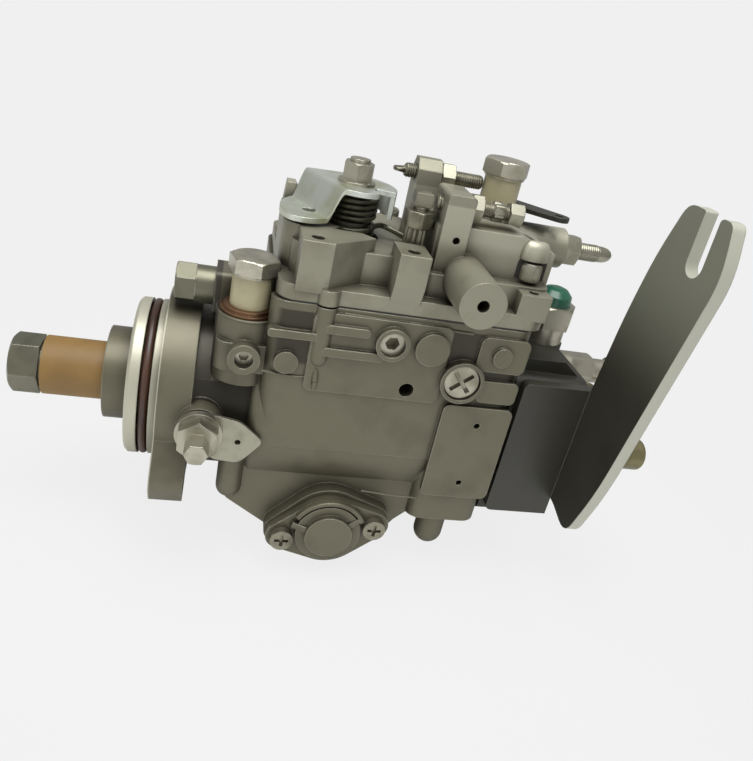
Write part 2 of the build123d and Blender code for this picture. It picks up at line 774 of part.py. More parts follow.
with BuildPart() as plunger_springs:
    spring_gap = spigot_front - cam_rear - 6
    for way in (-1, 1):
        coil(across(cam_rear + 6), plunger_spring_radius, 0.9, (spring_gap - 2.2) / 5, 5,
             at=(way * plunger_spring_offset, 0, 1.1))
save(plunger_springs, "plunger_springs")

# Timing piston with the slot for the slide pin, its spring, covers and screws
with BuildPart() as timing_piston:
    rod(near(timing_half_width - 23), timing_bore_radius - running, timing_piston_length,
        at=(timing_x, timing_height))
    with BuildSketch(level(timing_height - 6)) as slot:
        with Locations((timing_x, 0)):
            SlotCenterToCenter(4.4, 6.4, rotation=90)
    extrude(amount=20, mode=Mode.SUBTRACT)
    rod(near(timing_half_width - 22), timing_bore_radius - 3, 12, at=(timing_x, timing_height), mode=Mode.SUBTRACT)
save(timing_piston, "timing_piston")

with BuildPart() as timing_spring:
    spring_seat = timing_half_width - 34 + 1.1
    spring_room = 34 - 2.4
    coil(far(spring_seat), 5.4, 0.9, spring_room / 6, 6, at=(-timing_x, timing_height, 0))
save(timing_spring, "timing_spring")


def timing_lid(plane, side):
    # two-eared cover: flat ears, a raised crown and a round boss in the middle
    lean = radians(timing_screw_tilt)
    centre = (side * timing_x, timing_height)
    with BuildSketch(plane) as foot:
        with Locations(*[(side * (timing_x + way * timing_screw_offset * cos(lean)),
                          timing_height + way * timing_screw_offset * sin(lean)) for way in (-1, 1)]):
            Circle(6.8)
        with Locations(centre):
            Circle(timing_bore_radius + timing_wall - 2)
        make_hull()
        with Locations(*[(side * (timing_x + way * timing_screw_offset * cos(lean)),
                          timing_height + way * timing_screw_offset * sin(lean)) for way in (-1, 1)]):
            Circle(2.8, mode=Mode.SUBTRACT)
    extrude(foot.sketch, amount=timing_cover_thickness)
    rod(plane, timing_bore_radius + 4.2, timing_cover_thickness + 2.2, at=centre)
    rod(plane, timing_boss_radius, timing_boss_height, at=centre)
    rod(plane, 3, timing_boss_height - 3, at=centre, mode=Mode.SUBTRACT)


with BuildPart() as timing_covers:
    timing_lid(near(-timing_half_width), 1)
    timing_lid(far(timing_half_width), -1)
save(timing_covers, "timing_covers")

with BuildPart() as timing_screws:
    lean = radians(timing_screw_tilt)
    for plane, side in ((near(-timing_half_width), 1), (far(timing_half_width), -1)):
        for way in (-1, 1):
            spot = (side * (timing_x + way * timing_screw_offset * cos(lean)),
                    timing_height + way * timing_screw_offset * sin(lean))
            rod(plane.offset(-11), 2.5, timing_cover_thickness + 11, at=spot)
            rod(plane.offset(timing_cover_thickness), 4.9, 3.4, at=spot)
            with BuildSketch(plane.offset(timing_cover_thickness + 3.4)) as recess:
                with Locations(spot):
                    Rectangle(6, 1.5)
                    Rectangle(1.5, 6)
            extrude(amount=-1.8, mode=Mode.SUBTRACT)
save(timing_screws, "timing_screws")


def cap_screw(plane, at, shank):
    # socket-head screw whose head stands on the plane and whose shank goes down through it
    rod(plane, bolt_radius, -shank, at=at)
    rod(plane, bolt_head_radius, bolt_head_length, at=at)
    hexagon(plane.offset(bolt_head_length), bolt_socket_flats, -bolt_head_length / 2, at=at, mode=Mode.SUBTRACT)


# Governor cover: rim, spring chamber, front tower, upper block, lugs and bosses in one casting
with BuildPart() as governor_cover:
    rim_top = cover_floor + cover_rim
    block(level(cover_floor), (cover_front, -body_half_width), (cover_rear, body_half_width), cover_rim, body_corner)
    block(level(cover_floor), (44, -32), (98, 32), cover_roof - cover_floor, corner=6)
    block(level(cover_floor), (94, -36), (cover_rear, 36), 76 - cover_floor, corner=5)
    block(level(cover_floor), (40, -26), (62, 16), lug_height - cover_floor, corner=9)
    with BuildSketch(near(30)) as upper:
        with BuildLine():
            Polyline((upper_front, 70), (upper_front, upper_roof), (132, upper_roof), (cover_rear, 89),
                     (cover_rear, 70), close=True)
        make_face()
        fillet(upper.vertices().group_by(Axis.Y)[-1], 2.5)
    extrude(amount=60)
    # upright tab left of the lever and the post with a small hole
    with BuildSketch(near(13)) as tab:
        with BuildLine():
            Polyline((40.5, 80), (41.5, 92), (45, 92), (49, 86), (49, 80), close=True)
        make_face()
    extrude(amount=7)
    block(near(-14), (98, 70), (109, 106), 19, corner=1.5)
    # slanted wall from the front lug to the throttle's seat, and the top of the near column
    with BuildSketch(level(rim_top - 2)) as gusset:
        with BuildLine():
            Polyline((46, -43), (58, -43), (75, -29), (70, -24), (46, -24), close=True)
        make_face()
    extrude(amount=lug_height - rim_top + 2)
    rod(level(cover_floor), column_radius, cover_rim, at=(column_x, -body_half_width + 1.5))
    # near lugs with their slanted webs, and the rear lug
    for lug in lug_positions:
        with BuildSketch(across(lug - 6)) as web:
            with BuildLine():
                Polyline((-28, rim_top - 2), (-42, rim_top - 2), (-44, 72), (-44, lug_height), (-28, lug_height),
                         close=True)
            make_face()
        extrude(amount=12)
        rod(level(lug_height), 2.5, -12, at=(lug, -38.5), mode=Mode.SUBTRACT)
    block(near(-34), (133, rim_top - 2), (cover_rear - 1, rear_lug_height), 8, corner=0)
    rod(level(rear_lug_height), 2, -10, at=(rear_lug_x, -38.5), mode=Mode.SUBTRACT)
    rod(near(-14), side_boss_radius, -14 - side_boss_face, at=(side_boss_x, side_boss_height))
    # bosses for the overflow bolt, the idle screw, the full-load screw and the stop shaft
    rod(level(76), port_boss_radius, overflow_top - 76, at=(overflow_x, overflow_y))
    with BuildSketch(across(91)) as idle_lug:
        with BuildLine():
            Polyline((-5.5, 78), (-5.5, 108), (-2.5, 112), (2.5, 112), (5.5, 108), (5.5, 78), close=True)
        make_face()
    extrude(amount=10)
    rod(across(132), 9, full_load_boss_end - 132, at=(full_load_y, full_load_height))
    rod(level(72), 6.5, stop_height - 0.4 - 72, at=stop_spot)
    # seat of the return spring and the neck that carries the throttle shaft
    rod(level(throttle_seat), 12.6, 30, at=(throttle_x, throttle_y), mode=Mode.SUBTRACT)
    rod(level(throttle_seat - 2), throttle_neck_radius, throttle_low - throttle_seat + 2,
        at=(throttle_x, throttle_y))
    # room for the head of the inlet bolt, then the cavity, bores and threads
    rod(level(cover_floor), banjo_flats / 2 / cos(radians(30)) + air, joint_height, at=(inlet_x, inlet_y),
        mode=Mode.SUBTRACT)
    block(level(cover_floor), (48, -28), (138, 28), cavity_roof - cover_floor, corner=6, mode=Mode.SUBTRACT)
    rod(level(cavity_roof - 3), throttle_radius + running, 30, at=(throttle_x, throttle_y), mode=Mode.SUBTRACT)
    rod(level(cavity_roof), stop_radius + running, 40, at=stop_spot, mode=Mode.SUBTRACT)
    rod(across(132), 4, 40, at=(full_load_y, full_load_height), mode=Mode.SUBTRACT)
    rod(across(90), 3, 14, at=(idle_y, idle_height), mode=Mode.SUBTRACT)
    rod(across(96), 3, 14, at=(speed_y, speed_height), mode=Mode.SUBTRACT)
    rod(level(overflow_top), port_thread_radius, -16, at=(overflow_x, overflow_y), mode=Mode.SUBTRACT)
    rod(near(side_boss_face), 2.3, -14, at=(side_boss_x, side_boss_height), mode=Mode.SUBTRACT)
    rod(near(-33), 1.4, -8, at=(104.5, 89), mode=Mode.SUBTRACT)
    rod(level(cover_roof), 3.2, -5, at=stack_spot, mode=Mode.SUBTRACT)
    for spot in cover_bolts:
        rod(level(cover_seat), bolt_head_radius + 1.6, 40, at=spot, mode=Mode.SUBTRACT)
        rod(level(cover_floor), bolt_radius, 30, at=spot, mode=Mode.SUBTRACT)
save(governor_cover, "governor_cover")

with BuildPart() as cover_gasket:
    block(level(joint_height), (cover_front + 0.5, -body_half_width), (body_rear, body_half_width),
          gasket_thickness, body_corner)
    block(level(joint_height), (48, -28), (129, 28), gasket_thickness, corner=6, mode=Mode.SUBTRACT)
    for spot in cover_bolts:
        rod(level(joint_height), bolt_radius, gasket_thickness, at=spot, mode=Mode.SUBTRACT)
save(cover_gasket, "cover_gasket")

with BuildPart() as cover_screws:
    for spot in cover_bolts:
        cap_screw(level(cover_seat), spot, cover_seat - joint_height + bolt_depth - 1)
save(cover_screws, "cover_bolts")

# Throttle: shaft with a crank pin for the governor spring, lever plate, nut and return spring
with BuildPart() as throttle_shaft:
    rod(level(crank_height + 3), throttle_radius, throttle_high + 12 - crank_height - 3, at=(throttle_x, throttle_y))
    with BuildSketch(level(crank_height)) as crank:
        with Locations((throttle_x, throttle_y)):
            Circle(6)
        with Locations((throttle_x, throttle_y + crank_offset)):
            Circle(3.4)
        make_hull()
    extrude(amount=3)
    rod(level(crank_height - 6), 1.5, 6, at=(throttle_x, throttle_y + crank_offset))
save(throttle_shaft, "throttle_shaft")

with BuildPart() as throttle_lever:
    step = throttle_plate
    # side view of the joggled plate, cut to its outline as seen from above
    with BuildSketch(near(6)) as side_view:
        with BuildLine():
            Polyline((36, throttle_low), (54.5, throttle_low), (58, throttle_high), (79.5, throttle_high),
                     (79.5, throttle_high + step), (56.3, throttle_high + step), (52.8, throttle_low + step),
                     (36, throttle_low + step), close=True)
        make_face()
    extrude(amount=36)
    with BuildSketch(level(throttle_low - 1)) as outline:
        with Locations((throttle_x, throttle_y)):
            Circle(11.5)
        with Locations((46.5, -17)):
            Circle(8)
        with Locations((46.5, 0)):
            Circle(5.5)
        make_hull()
    extrude(amount=20, mode=Mode.INTERSECT)
    # folded edge that guards the spring, and the hub on the shaft
    with BuildSketch(level(throttle_low + 0.6)) as guard:
        with Locations((throttle_x, throttle_y)):
            Circle(11.5)
            Circle(9.6, mode=Mode.SUBTRACT)
            with Locations((-6, 2)):
                Rectangle(30, 34, mode=Mode.SUBTRACT)
    extrude(amount=throttle_high - throttle_low)
    rod(level(throttle_low + slip), 6.2, throttle_high - throttle_low, at=(throttle_x, throttle_y))
    rod(level(throttle_low - 1), throttle_radius, 20, at=(throttle_x, throttle_y), mode=Mode.SUBTRACT)
    rod(level(throttle_low - 1), 2.6, 8, at=(49.5, -14.5), mode=Mode.SUBTRACT)
save(throttle_lever, "throttle_lever")

with BuildPart() as throttle_nut:
    nut_seat = throttle_high + throttle_plate
    rod(level(nut_seat), 7.4, 1.2, at=(throttle_x, throttle_y))
    hex_head(level(nut_seat + 1.2), throttle_nut_flats, 7, at=(throttle_x, throttle_y), turn=15)
    rod(level(nut_seat), throttle_radius, 9, at=(throttle_x, throttle_y), mode=Mode.SUBTRACT)
save(throttle_nut, "throttle_nut")

with BuildPart() as return_spring:
    spring_rise = throttle_low - throttle_seat - 2 * return_wire - 2 * slip
    coil(level(throttle_seat + return_wire + slip), return_spring_radius, return_wire, 2.45, spring_rise / 2.45,
         at=(throttle_x, throttle_y, 0))
save(return_spring, "return_spring")

with BuildPart() as governor_spring:
    start = throttle_x + 1.5 + 0.7 + slip
    run = sleeve_rear + slip + 4 - slip - start - 1.4
    coil(across(start), 3.2, 0.7, run / 8, 8, at=(throttle_y + crank_offset, governor_spring_height, 0))
save(governor_spring, "governor_spring")

# Stop lever of sheet steel riveted to its short shaft
with BuildPart() as stop_lever:
    with BuildSketch(level(stop_height)) as plate:
        with Locations(stop_spot):
            Circle(6.4)
        with Locations(stop_tip):
            Circle(4.6)
        make_hull()
        with Locations(stop_tip):
            Circle(2, mode=Mode.SUBTRACT)
    extrude(amount=2)
    rod(level(cavity_roof + 1), stop_radius, stop_height + 3 - cavity_roof - 1, at=stop_spot)
save(stop_lever, "stop_lever")

# Idle, maximum speed and full-load screws, and the vertical stop left of the post
with BuildPart() as adjusting_screws:
    rod(across(86), 3, overflow_x - port_sleeve_radius - 0.6 - 86, at=(idle_y, idle_height))
    block(across(82), (idle_y - 2.6, idle_height - 1), (idle_y + 2.6, idle_height + 1), 4.5)
    rod(across(96), 3, 35, at=(speed_y, speed_height))
    rod(across(132), 4, 48, at=(full_load_y, full_load_height))
    turned([(180, 0), (180, 4), (188, 4), (193, 1.2), (193, 0)],
           Plane(origin=(0, full_load_y, full_load_height), x_dir=(1, 0, 0), z_dir=(0, -1, 0)))
    rod(near(full_load_y + 6), 1, 12, at=(185, full_load_height), mode=Mode.SUBTRACT)
    rod(level(cover_roof - 5), 3.2, 29, at=stack_spot)
    rod(level(cover_roof + 0.2), 4.2, 13, at=stack_spot)
    with BuildSketch(level(cover_roof)) as flutes:
        with Locations(stack_spot):
            with PolarLocations(4.5, 8):
                Circle(0.8)
    extrude(amount=12, mode=Mode.SUBTRACT)
    rod(level(cover_roof + 12), 5.6, 5, at=stack_spot)
    hexagon(level(cover_roof + 18), 8, 5.5, at=stack_spot)
save(adjusting_screws, "adjusting_screws")

with BuildPart() as screw_locknuts:
    for front, spot, radius, flats, length in ((101.2, (idle_y, idle_height), 3, 10, 5.8),
                                               (109.2, (speed_y, speed_height), 3, 10, 5),
                                               (119.5, (speed_y, speed_height), 3, 9.6, 12),
                                               (full_load_boss_end, (full_load_y, full_load_height), 4, 12.6, 8)):
        hex_head(across(front), flats, length, at=spot, turn=30)
        rod(across(front), radius, length, at=spot, mode=Mode.SUBTRACT)
save(screw_locknuts, "screw_locknuts")

# Hollow bolts of the inlet and overflow with their sleeves and copper washers
ports = ((inlet_x, inlet_y, inlet_top), (overflow_x, overflow_y, overflow_top))

with BuildPart() as banjo_bolts:
    for x, y, seat in ports:
        bolt_seat = seat + 2 * washer_thickness + port_sleeve_length
        rod(level(seat - 12), port_thread_radius, bolt_seat - seat + 12, at=(x, y))
        hex_head(level(bolt_seat), banjo_flats, banjo_head, at=(x, y), turn=20)
        rod(level(seat - 12), 2.4, 20, at=(x, y), mode=Mode.SUBTRACT)
        rod(near(y + 6), 1.4, 12, at=(x, seat + 6), mode=Mode.SUBTRACT)
save(banjo_bolts, "banjo_bolts")

with BuildPart() as port_sleeves:
    for x, y, seat in ports:
        tube(level(seat + 2 * washer_thickness), port_sleeve_radius, port_thread_radius + air, port_sleeve_length,
             at=(x, y))
save(port_sleeves, "port_sleeves")

with BuildPart() as sealing_washers:
    for x, y, seat in ports:
        tube(level(seat), washer_radius, port_thread_radius, washer_thickness, at=(x, y))
        tube(level(seat + washer_thickness), washer_radius - washer_step, port_thread_radius, washer_thickness,
             at=(x, y))
save(sealing_washers, "sealing_washers")

# Pressure valve: threaded body, round flange and hexagon that faces the drive end
with BuildPart() as pressure_valve:
    rod(across(valve_rear), 6, 13, at=(valve_y, valve_height))
    rod(across(valve_rear - 7.5), valve_radius - 0.6, 7.5, at=(valve_y, valve_height))
    hex_head(forward(valve_rear - 7.5), 14.6, valve_rear - 7.5 - valve_front, at=(-valve_y, valve_height), turn=30)
    hexagon(across(valve_front), 6, 4, at=(valve_y, valve_height), mode=Mode.SUBTRACT)
save(pressure_valve, "pressure_valve")

# Lock screw on the near side and the tag washer beneath it
with BuildPart() as lock_screw:
    spot = (lock_x, lock_height)
    seat = near(lock_boss_y - tag_thickness)
    rod(seat, 4, -9, at=spot)
    rod(seat, 9.2, 3, at=spot)
    hex_head(seat.offset(3), 15, 6, at=spot, turn=30)
    hex_head(seat.offset(9), 8, 8.5, at=spot)
save(lock_screw, "lock_screw")

with BuildPart() as tag_washer:
    with BuildSketch(near(lock_boss_y)) as tag:
        with BuildLine():
            Polyline((lock_x + 2, lock_height - 8.4), (24, -11.2), (34.5, -12), (43.2, -1.2), (33, 7.3),
                     (19.4, 8.9), (lock_x - 4, 8.4), close=True)
        make_face()
        with Locations((lock_x, lock_height)):
            Circle(8.6)
            Circle(4, mode=Mode.SUBTRACT)
        with Locations((33, -2.2)):
            Circle(1.2, mode=Mode.SUBTRACT)
    extrude(amount=tag_thickness)
save(tag_washer, "tag_washer")

# Plugs and screws on the near side, and the plug in the middle of the head
with BuildPart() as threaded_plugs:
    rod(near(-body_half_width + 6), 3.6, 3.6, at=(31.2, 33.7))
    hexagon(near(-body_half_width + 2.4), 3.4, -2, at=(31.2, 33.7), mode=Mode.SUBTRACT)
    rod(near(-body_half_width + 8), 5, 10, at=(86.3, 48.5))
    hexagon(near(-body_half_width - 2), 5, -5, at=(86.3, 48.5), mode=Mode.SUBTRACT)
    rod(near(-body_half_width + 4), 7.2, 6.4, at=(118, 35.4))
    with BuildSketch(near(-body_half_width - 2.4)) as cross:
        with Locations((118, 35.4)):
            Rectangle(11, 1.8, rotation=40)
            Rectangle(11, 1.8, rotation=130)
    extrude(amount=-2, mode=Mode.SUBTRACT)
    rod(across(168), plug_radius, head_rear - 168)
    rod(across(head_rear), plug_radius + 2.4, 2)
    hex_head(across(head_rear + 2), 17, 8)
save(threaded_plugs, "threaded_plugs")

# Distributor head: flange block, bored spigot, shoulder for the solenoid and outlet bosses
with BuildPart() as distributor_head:
    block(across(head_front), (-head_half_width, head_floor), (head_half_width, head_shoulder),
          head_rear - head_front, corner=5)
    with BuildSketch(near(29)) as shoulder:
        with BuildLine():
            Polyline((head_front, 20), (head_front, head_top), (168, head_top), (head_rear - 1, 36),
                     (head_rear - 1, 20), close=True)
        make_face()
    extrude(amount=58)
    rod(across(spigot_front), bore_radius - running, head_front - spigot_front)
    for turn in range(outlet_count):
        angle = turn * 2 * pi / outlet_count
        spot = (outlet_circle * cos(angle), outlet_circle * sin(angle))
        rod(across(head_rear - 8), outlet_collar_radius + 1, 8, at=spot)
    rod(level(head_shoulder - 4), solenoid_radius + 0.6, head_top - head_shoulder + 4, at=(solenoid_x, solenoid_y))
    # plunger bore, plug thread, outlet threads, solenoid bore and bolt holes
    rod(across(spigot_front), plunger_radius + running, 168 - spigot_front, mode=Mode.SUBTRACT)
    rod(across(168), plug_radius, 20, mode=Mode.SUBTRACT)
    for turn in range(outlet_count):
        angle = turn * 2 * pi / outlet_count
        spot = (outlet_circle * cos(angle), outlet_circle * sin(angle))
        rod(across(head_rear - 5), 5, 8, at=spot, mode=Mode.SUBTRACT)
    rod(level(solenoid_bore_floor), solenoid_bore_radius, 30, at=(solenoid_x, solenoid_y), mode=Mode.SUBTRACT)
    rod(level(solenoid_bore_floor - 8), armature_radius + running, 12, at=(solenoid_x, solenoid_y),
        mode=Mode.SUBTRACT)
    for spot in head_bolt_spots:
        rod(across(head_front), bolt_radius, 40, at=spot, mode=Mode.SUBTRACT)
        rod(across(head_seat), bolt_head_radius + 0.4, 40, at=spot, mode=Mode.SUBTRACT)
    for spot in bracket_bolt_spots:
        rod(near(-head_half_width), bolt_radius, -bolt_depth, at=spot, mode=Mode.SUBTRACT)
save(distributor_head, "distributor_head")

with BuildPart() as head_bolts:
    for spot in head_bolt_spots:
        cap_screw(across(head_seat), spot, head_seat - body_rear + bolt_depth - 1)
    # countersunk screws of the bracket, flush with its foot
    for x, z in bracket_bolt_spots:
        outer = -head_half_width - bracket_thickness
        turned([(outer, 0), (outer, 5), (outer + 2.5, bolt_radius), (outer + 16, bolt_radius), (outer + 16, 0)],
               Plane(origin=(x, 0, z), x_dir=(0, 1, 0), z_dir=(0, 0, 1)))
        hexagon(near(outer), 3, -2, at=(x, z), mode=Mode.SUBTRACT)
save(head_bolts, "head_bolts")

# Outlet holders, one for each injector, with their bronze caps
with BuildPart() as outlet_holders:
    for turn in range(outlet_count):
        angle = turn * 2 * pi / outlet_count
        spot = (outlet_circle * cos(angle), outlet_circle * sin(angle))
        rod(across(head_rear - 5), 5, 5, at=spot)
        rod(across(head_rear), outlet_collar_radius, 6, at=spot)
        hex_head(across(head_rear + 6), outlet_flats, 12, at=spot)
        rod(across(head_rear + 18), outlet_thread_radius, 16, at=spot)
        rod(across(head_rear + 12), 1.5, 24, at=spot, mode=Mode.SUBTRACT)
save(outlet_holders, "outlet_holders")

with BuildPart() as outlet_caps:
    for turn in range(outlet_count):
        angle = turn * 2 * pi / outlet_count
        spot = (outlet_circle * cos(angle), outlet_circle * sin(angle))
        rod(across(head_rear + 28), cap_radius + 0.8, 15, at=spot)
        rod(across(head_rear + 28), outlet_thread_radius, 6, at=spot, mode=Mode.SUBTRACT)
    fillet(outlet_caps.faces().sort_by(Axis.X)[-outlet_count:].edges(), 2)
save(outlet_caps, "outlet_caps")

# Shut-off solenoid: body with hexagon, green cap with its terminal, and the armature inside
with BuildPart() as solenoid_body:
    spot = (solenoid_x, solenoid_y)
    rod(level(head_top), solenoid_radius, 8, at=spot)
    hex_head(level(head_top + 8), 20, 10, at=spot)
    rod(level(solenoid_bore_floor + 3), solenoid_bore_radius, head_top - solenoid_bore_floor - 3, at=spot)
    rod(level(solenoid_bore_floor + 3), armature_radius + running, 19, at=spot, mode=Mode.SUBTRACT)
save(solenoid_body, "solenoid_body")

with BuildPart() as solenoid_cap:
    turned([(head_top + 18, 0), (head_top + 18, 8), (head_top + 22, 7.4), (head_top + 24.4, 5),
            (head_top + 25.2, 2.6), (head_top + 25.2, 0)],
           Plane(origin=(solenoid_x, solenoid_y, 0), x_dir=(0, 0, 1), z_dir=(0, 1, 0)))
save(solenoid_cap, "solenoid_cap")

with BuildPart() as solenoid_armature:
    rod(level(solenoid_bore_floor - 8), armature_radius, 28, at=(solenoid_x, solenoid_y))
save(solenoid_armature, "solenoid_armature")

# Rear bracket: a foot on the side of the head, bent outwards into a leaning slotted bar
with BuildPart() as rear_bracket:
    foot_y = -head_half_width
    outer_y = foot_y - bracket_thickness
    block(near(foot_y), (bracket_foot_front, bracket_foot_floor), (bracket_x, bracket_foot_top), bracket_thickness)
    with BuildSketch(across(bracket_x)) as bar:
        with BuildLine():
            Polyline((foot_y, bracket_foot_top), (foot_y, -19), (outer_y - 2, -19), (-62, -23.5),
                     (-72, 5.5), (-90, 105), (-85, bracket_top), (-58, bracket_top), (-50.5, 101), (-45.5, 74),
                     (outer_y, bracket_foot_top), close=True)
        make_face()
        fillet(bar.vertices().filter_by(lambda v: v.Z < -22), 6)
        fillet(bar.vertices().filter_by(lambda v: v.Z > 110), 8)
        with Locations((bracket_slot_y, bracket_slot_floor)):
            Circle(bracket_slot_width / 2, mode=Mode.SUBTRACT)
            with Locations((0, 20)):
                Rectangle(bracket_slot_width, 40, mode=Mode.SUBTRACT)
    extrude(amount=bracket_thickness)
    for x, z in bracket_bolt_spots:
        outer = -head_half_width - bracket_thickness
        turned([(outer, 0), (outer, 5), (outer + 2.5, bolt_radius), (outer + 16, bolt_radius), (outer + 16, 0)],
               Plane(origin=(x, 0, z), x_dir=(0, 1, 0), z_dir=(0, 0, 1)), mode=Mode.SUBTRACT)
save(rear_bracket, "rear_bracket")
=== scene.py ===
import math

import bmesh
import bpy
from mathutils import Matrix, Vector


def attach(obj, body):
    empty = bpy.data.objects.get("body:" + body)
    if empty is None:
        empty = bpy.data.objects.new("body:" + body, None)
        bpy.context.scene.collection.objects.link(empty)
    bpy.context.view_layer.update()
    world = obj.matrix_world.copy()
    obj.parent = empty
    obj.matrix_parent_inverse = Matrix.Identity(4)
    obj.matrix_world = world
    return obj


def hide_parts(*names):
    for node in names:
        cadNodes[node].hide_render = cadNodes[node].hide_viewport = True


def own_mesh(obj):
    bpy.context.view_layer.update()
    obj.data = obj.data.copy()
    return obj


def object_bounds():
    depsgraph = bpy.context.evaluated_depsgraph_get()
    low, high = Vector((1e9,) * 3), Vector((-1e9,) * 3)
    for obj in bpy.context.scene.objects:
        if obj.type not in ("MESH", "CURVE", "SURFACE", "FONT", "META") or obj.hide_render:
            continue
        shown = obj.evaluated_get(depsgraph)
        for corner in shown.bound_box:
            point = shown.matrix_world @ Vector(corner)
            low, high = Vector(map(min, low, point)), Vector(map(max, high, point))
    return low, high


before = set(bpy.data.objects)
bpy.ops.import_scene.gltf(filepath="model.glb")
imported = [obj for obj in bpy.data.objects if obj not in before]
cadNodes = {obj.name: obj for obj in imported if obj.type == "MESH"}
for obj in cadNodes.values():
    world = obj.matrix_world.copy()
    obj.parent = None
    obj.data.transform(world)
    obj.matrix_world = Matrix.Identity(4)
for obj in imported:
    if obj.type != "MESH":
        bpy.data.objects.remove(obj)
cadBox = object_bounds()
print("frame:", len(cadNodes), "nodes")

mm = 0.001


# camera and light

cameraSetup = {
    "azimuth": -14.403,
    "elevation": 26.256,
    "roll": -0.2238,
    "place": (19.96, -290.71, 157.62),
    "lens": 34.06,
    "nearest": 0.005,
}

azimuth = math.radians(cameraSetup["azimuth"])
elevation = math.radians(cameraSetup["elevation"])
roll = cameraSetup["roll"]
back = Vector((math.sin(azimuth) * math.cos(elevation), -math.cos(azimuth) * math.cos(elevation),
               math.sin(elevation)))
level = Vector((math.cos(azimuth), math.sin(azimuth), 0))
upright = back.cross(level)
cameraX = math.cos(roll) * level - math.sin(roll) * upright
cameraY = math.sin(roll) * level + math.cos(roll) * upright

cameraData = bpy.data.cameras.new("camera")
cameraData.lens = cameraSetup["lens"]
cameraData.clip_start = cameraSetup["nearest"]
camera = bpy.data.objects.new("camera", cameraData)
bpy.context.scene.collection.objects.link(camera)
camera.matrix_world = (Matrix.Translation(Vector(cameraSetup["place"]) * mm)
                       @ Matrix((cameraX, cameraY, back)).transposed().to_4x4())
bpy.context.scene.camera = camera

lamps = {
    "topSoftbox": {"place": (0.05, -0.15, 0.75), "aim": (0.07, 0, 0.03), "size": 0.6, "power": 7.6},
    "leftFill": {"place": (-0.6, -0.5, 0.25), "aim": (0.05, 0, 0), "size": 0.5, "power": 0.9},
    "nearFill": {"place": (0.25, -0.9, 0.15), "aim": (0.08, 0, 0.02), "size": 0.6, "power": 0.7},
}


def addLamp(name, setup):
    data = bpy.data.lights.new(name, "AREA")
    data.energy = setup["power"]
    data.size = setup["size"]
    lamp = bpy.data.objects.new(name, data)
    bpy.context.scene.collection.objects.link(lamp)
    lamp.location = setup["place"]
    aim = Vector(setup["aim"]) - Vector(setup["place"])
    lamp.rotation_euler = aim.to_track_quat("-Z", "Y").to_euler()


for name, setup in lamps.items():
    addLamp(name, setup)

bpy.context.scene.view_settings.view_transform = "Standard"


# node tools

def srgb(red, green, blue):
    # 8-bit screen colour to Blender's linear colour
    tones = [c / 255 for c in (red, green, blue)]
    return (*[t / 12.92 if t <= 0.04045 else ((t + 0.055) / 1.055) ** 2.4 for t in tones], 1)


def addNode(tree, kind, **values):
    made = tree.nodes.new(kind)
    for key, value in values.items():
        setattr(made, key, value)
    return made


def remap(tree, value, start, end, low=0, high=1, curve="LINEAR"):
    # the value's stretch from start to end becomes low to high
    step = addNode(tree, "ShaderNodeMapRange", interpolation_type=curve)
    step.inputs["From Min"].default_value = start
    step.inputs["From Max"].default_value = end
    step.inputs["To Min"].default_value = low
    step.inputs["To Max"].default_value = high
    tree.links.new(value, step.inputs["Value"])
    return step.outputs["Result"]


def product(tree, first, second):
    both = addNode(tree, "ShaderNodeMath", operation="MULTIPLY")
    tree.links.new(first, both.inputs[0])
    tree.links.new(second, both.inputs[1])
    return both.outputs[0]


def mixShaders(tree, factor, first, second):
    blend = addNode(tree, "ShaderNodeMixShader")
    tree.links.new(factor, blend.inputs["Fac"])
    tree.links.new(first, blend.inputs[1])
    tree.links.new(second, blend.inputs[2])
    return blend.outputs[0]


# backdrop: the camera sees one pale shade, and the pump is lit by a weaker one

backdrop = {"shade": (240, 240, 240), "ambient": 0.4, "floorSize": 3, "floorDrop": 0.004,
            "shadowShare": 0.06, "shadowCentre": (0.08, 0, 0), "shadowNear": 0.12, "shadowFar": 0.3}


def addWorld():
    world = bpy.data.worlds.new("studio")
    bpy.context.scene.world = world
    world.use_nodes = True
    tree = world.node_tree
    tree.nodes.clear()
    seen = addNode(tree, "ShaderNodeBackground")
    seen.inputs["Color"].default_value = srgb(*backdrop["shade"])
    ambient = addNode(tree, "ShaderNodeBackground")
    ambient.inputs["Color"].default_value = (1, 1, 1, 1)
    ambient.inputs["Strength"].default_value = backdrop["ambient"]
    toCamera = addNode(tree, "ShaderNodeLightPath").outputs["Is Camera Ray"]
    output = addNode(tree, "ShaderNodeOutputWorld")
    tree.links.new(mixShaders(tree, toCamera, ambient.outputs[0], seen.outputs[0]), output.inputs["Surface"])


def makeFloorMaterial():
    material = bpy.data.materials.new("paleFloor")
    material.use_nodes = True
    tree = material.node_tree
    tree.nodes.clear()
    matt = addNode(tree, "ShaderNodeBsdfDiffuse")
    matt.inputs["Color"].default_value = srgb(*backdrop["shade"])
    glow = addNode(tree, "ShaderNodeEmission")
    glow.inputs["Color"].default_value = srgb(*backdrop["shade"])
    # the lit share of the floor fades out round the pump, so that it meets the backdrop unseen
    away = addNode(tree, "ShaderNodeVectorMath", operation="DISTANCE")
    away.inputs[1].default_value = backdrop["shadowCentre"]
    tree.links.new(addNode(tree, "ShaderNodeTexCoord").outputs["Object"], away.inputs[0])
    fade = remap(tree, away.outputs["Value"], backdrop["shadowNear"], backdrop["shadowFar"],
                 1 - backdrop["shadowShare"], 1, "SMOOTHSTEP")
    toCamera = addNode(tree, "ShaderNodeLightPath").outputs["Is Camera Ray"]
    output = addNode(tree, "ShaderNodeOutputMaterial")
    blend = mixShaders(tree, product(tree, toCamera, fade), matt.outputs[0], glow.outputs[0])
    tree.links.new(blend, output.inputs["Surface"])
    return material


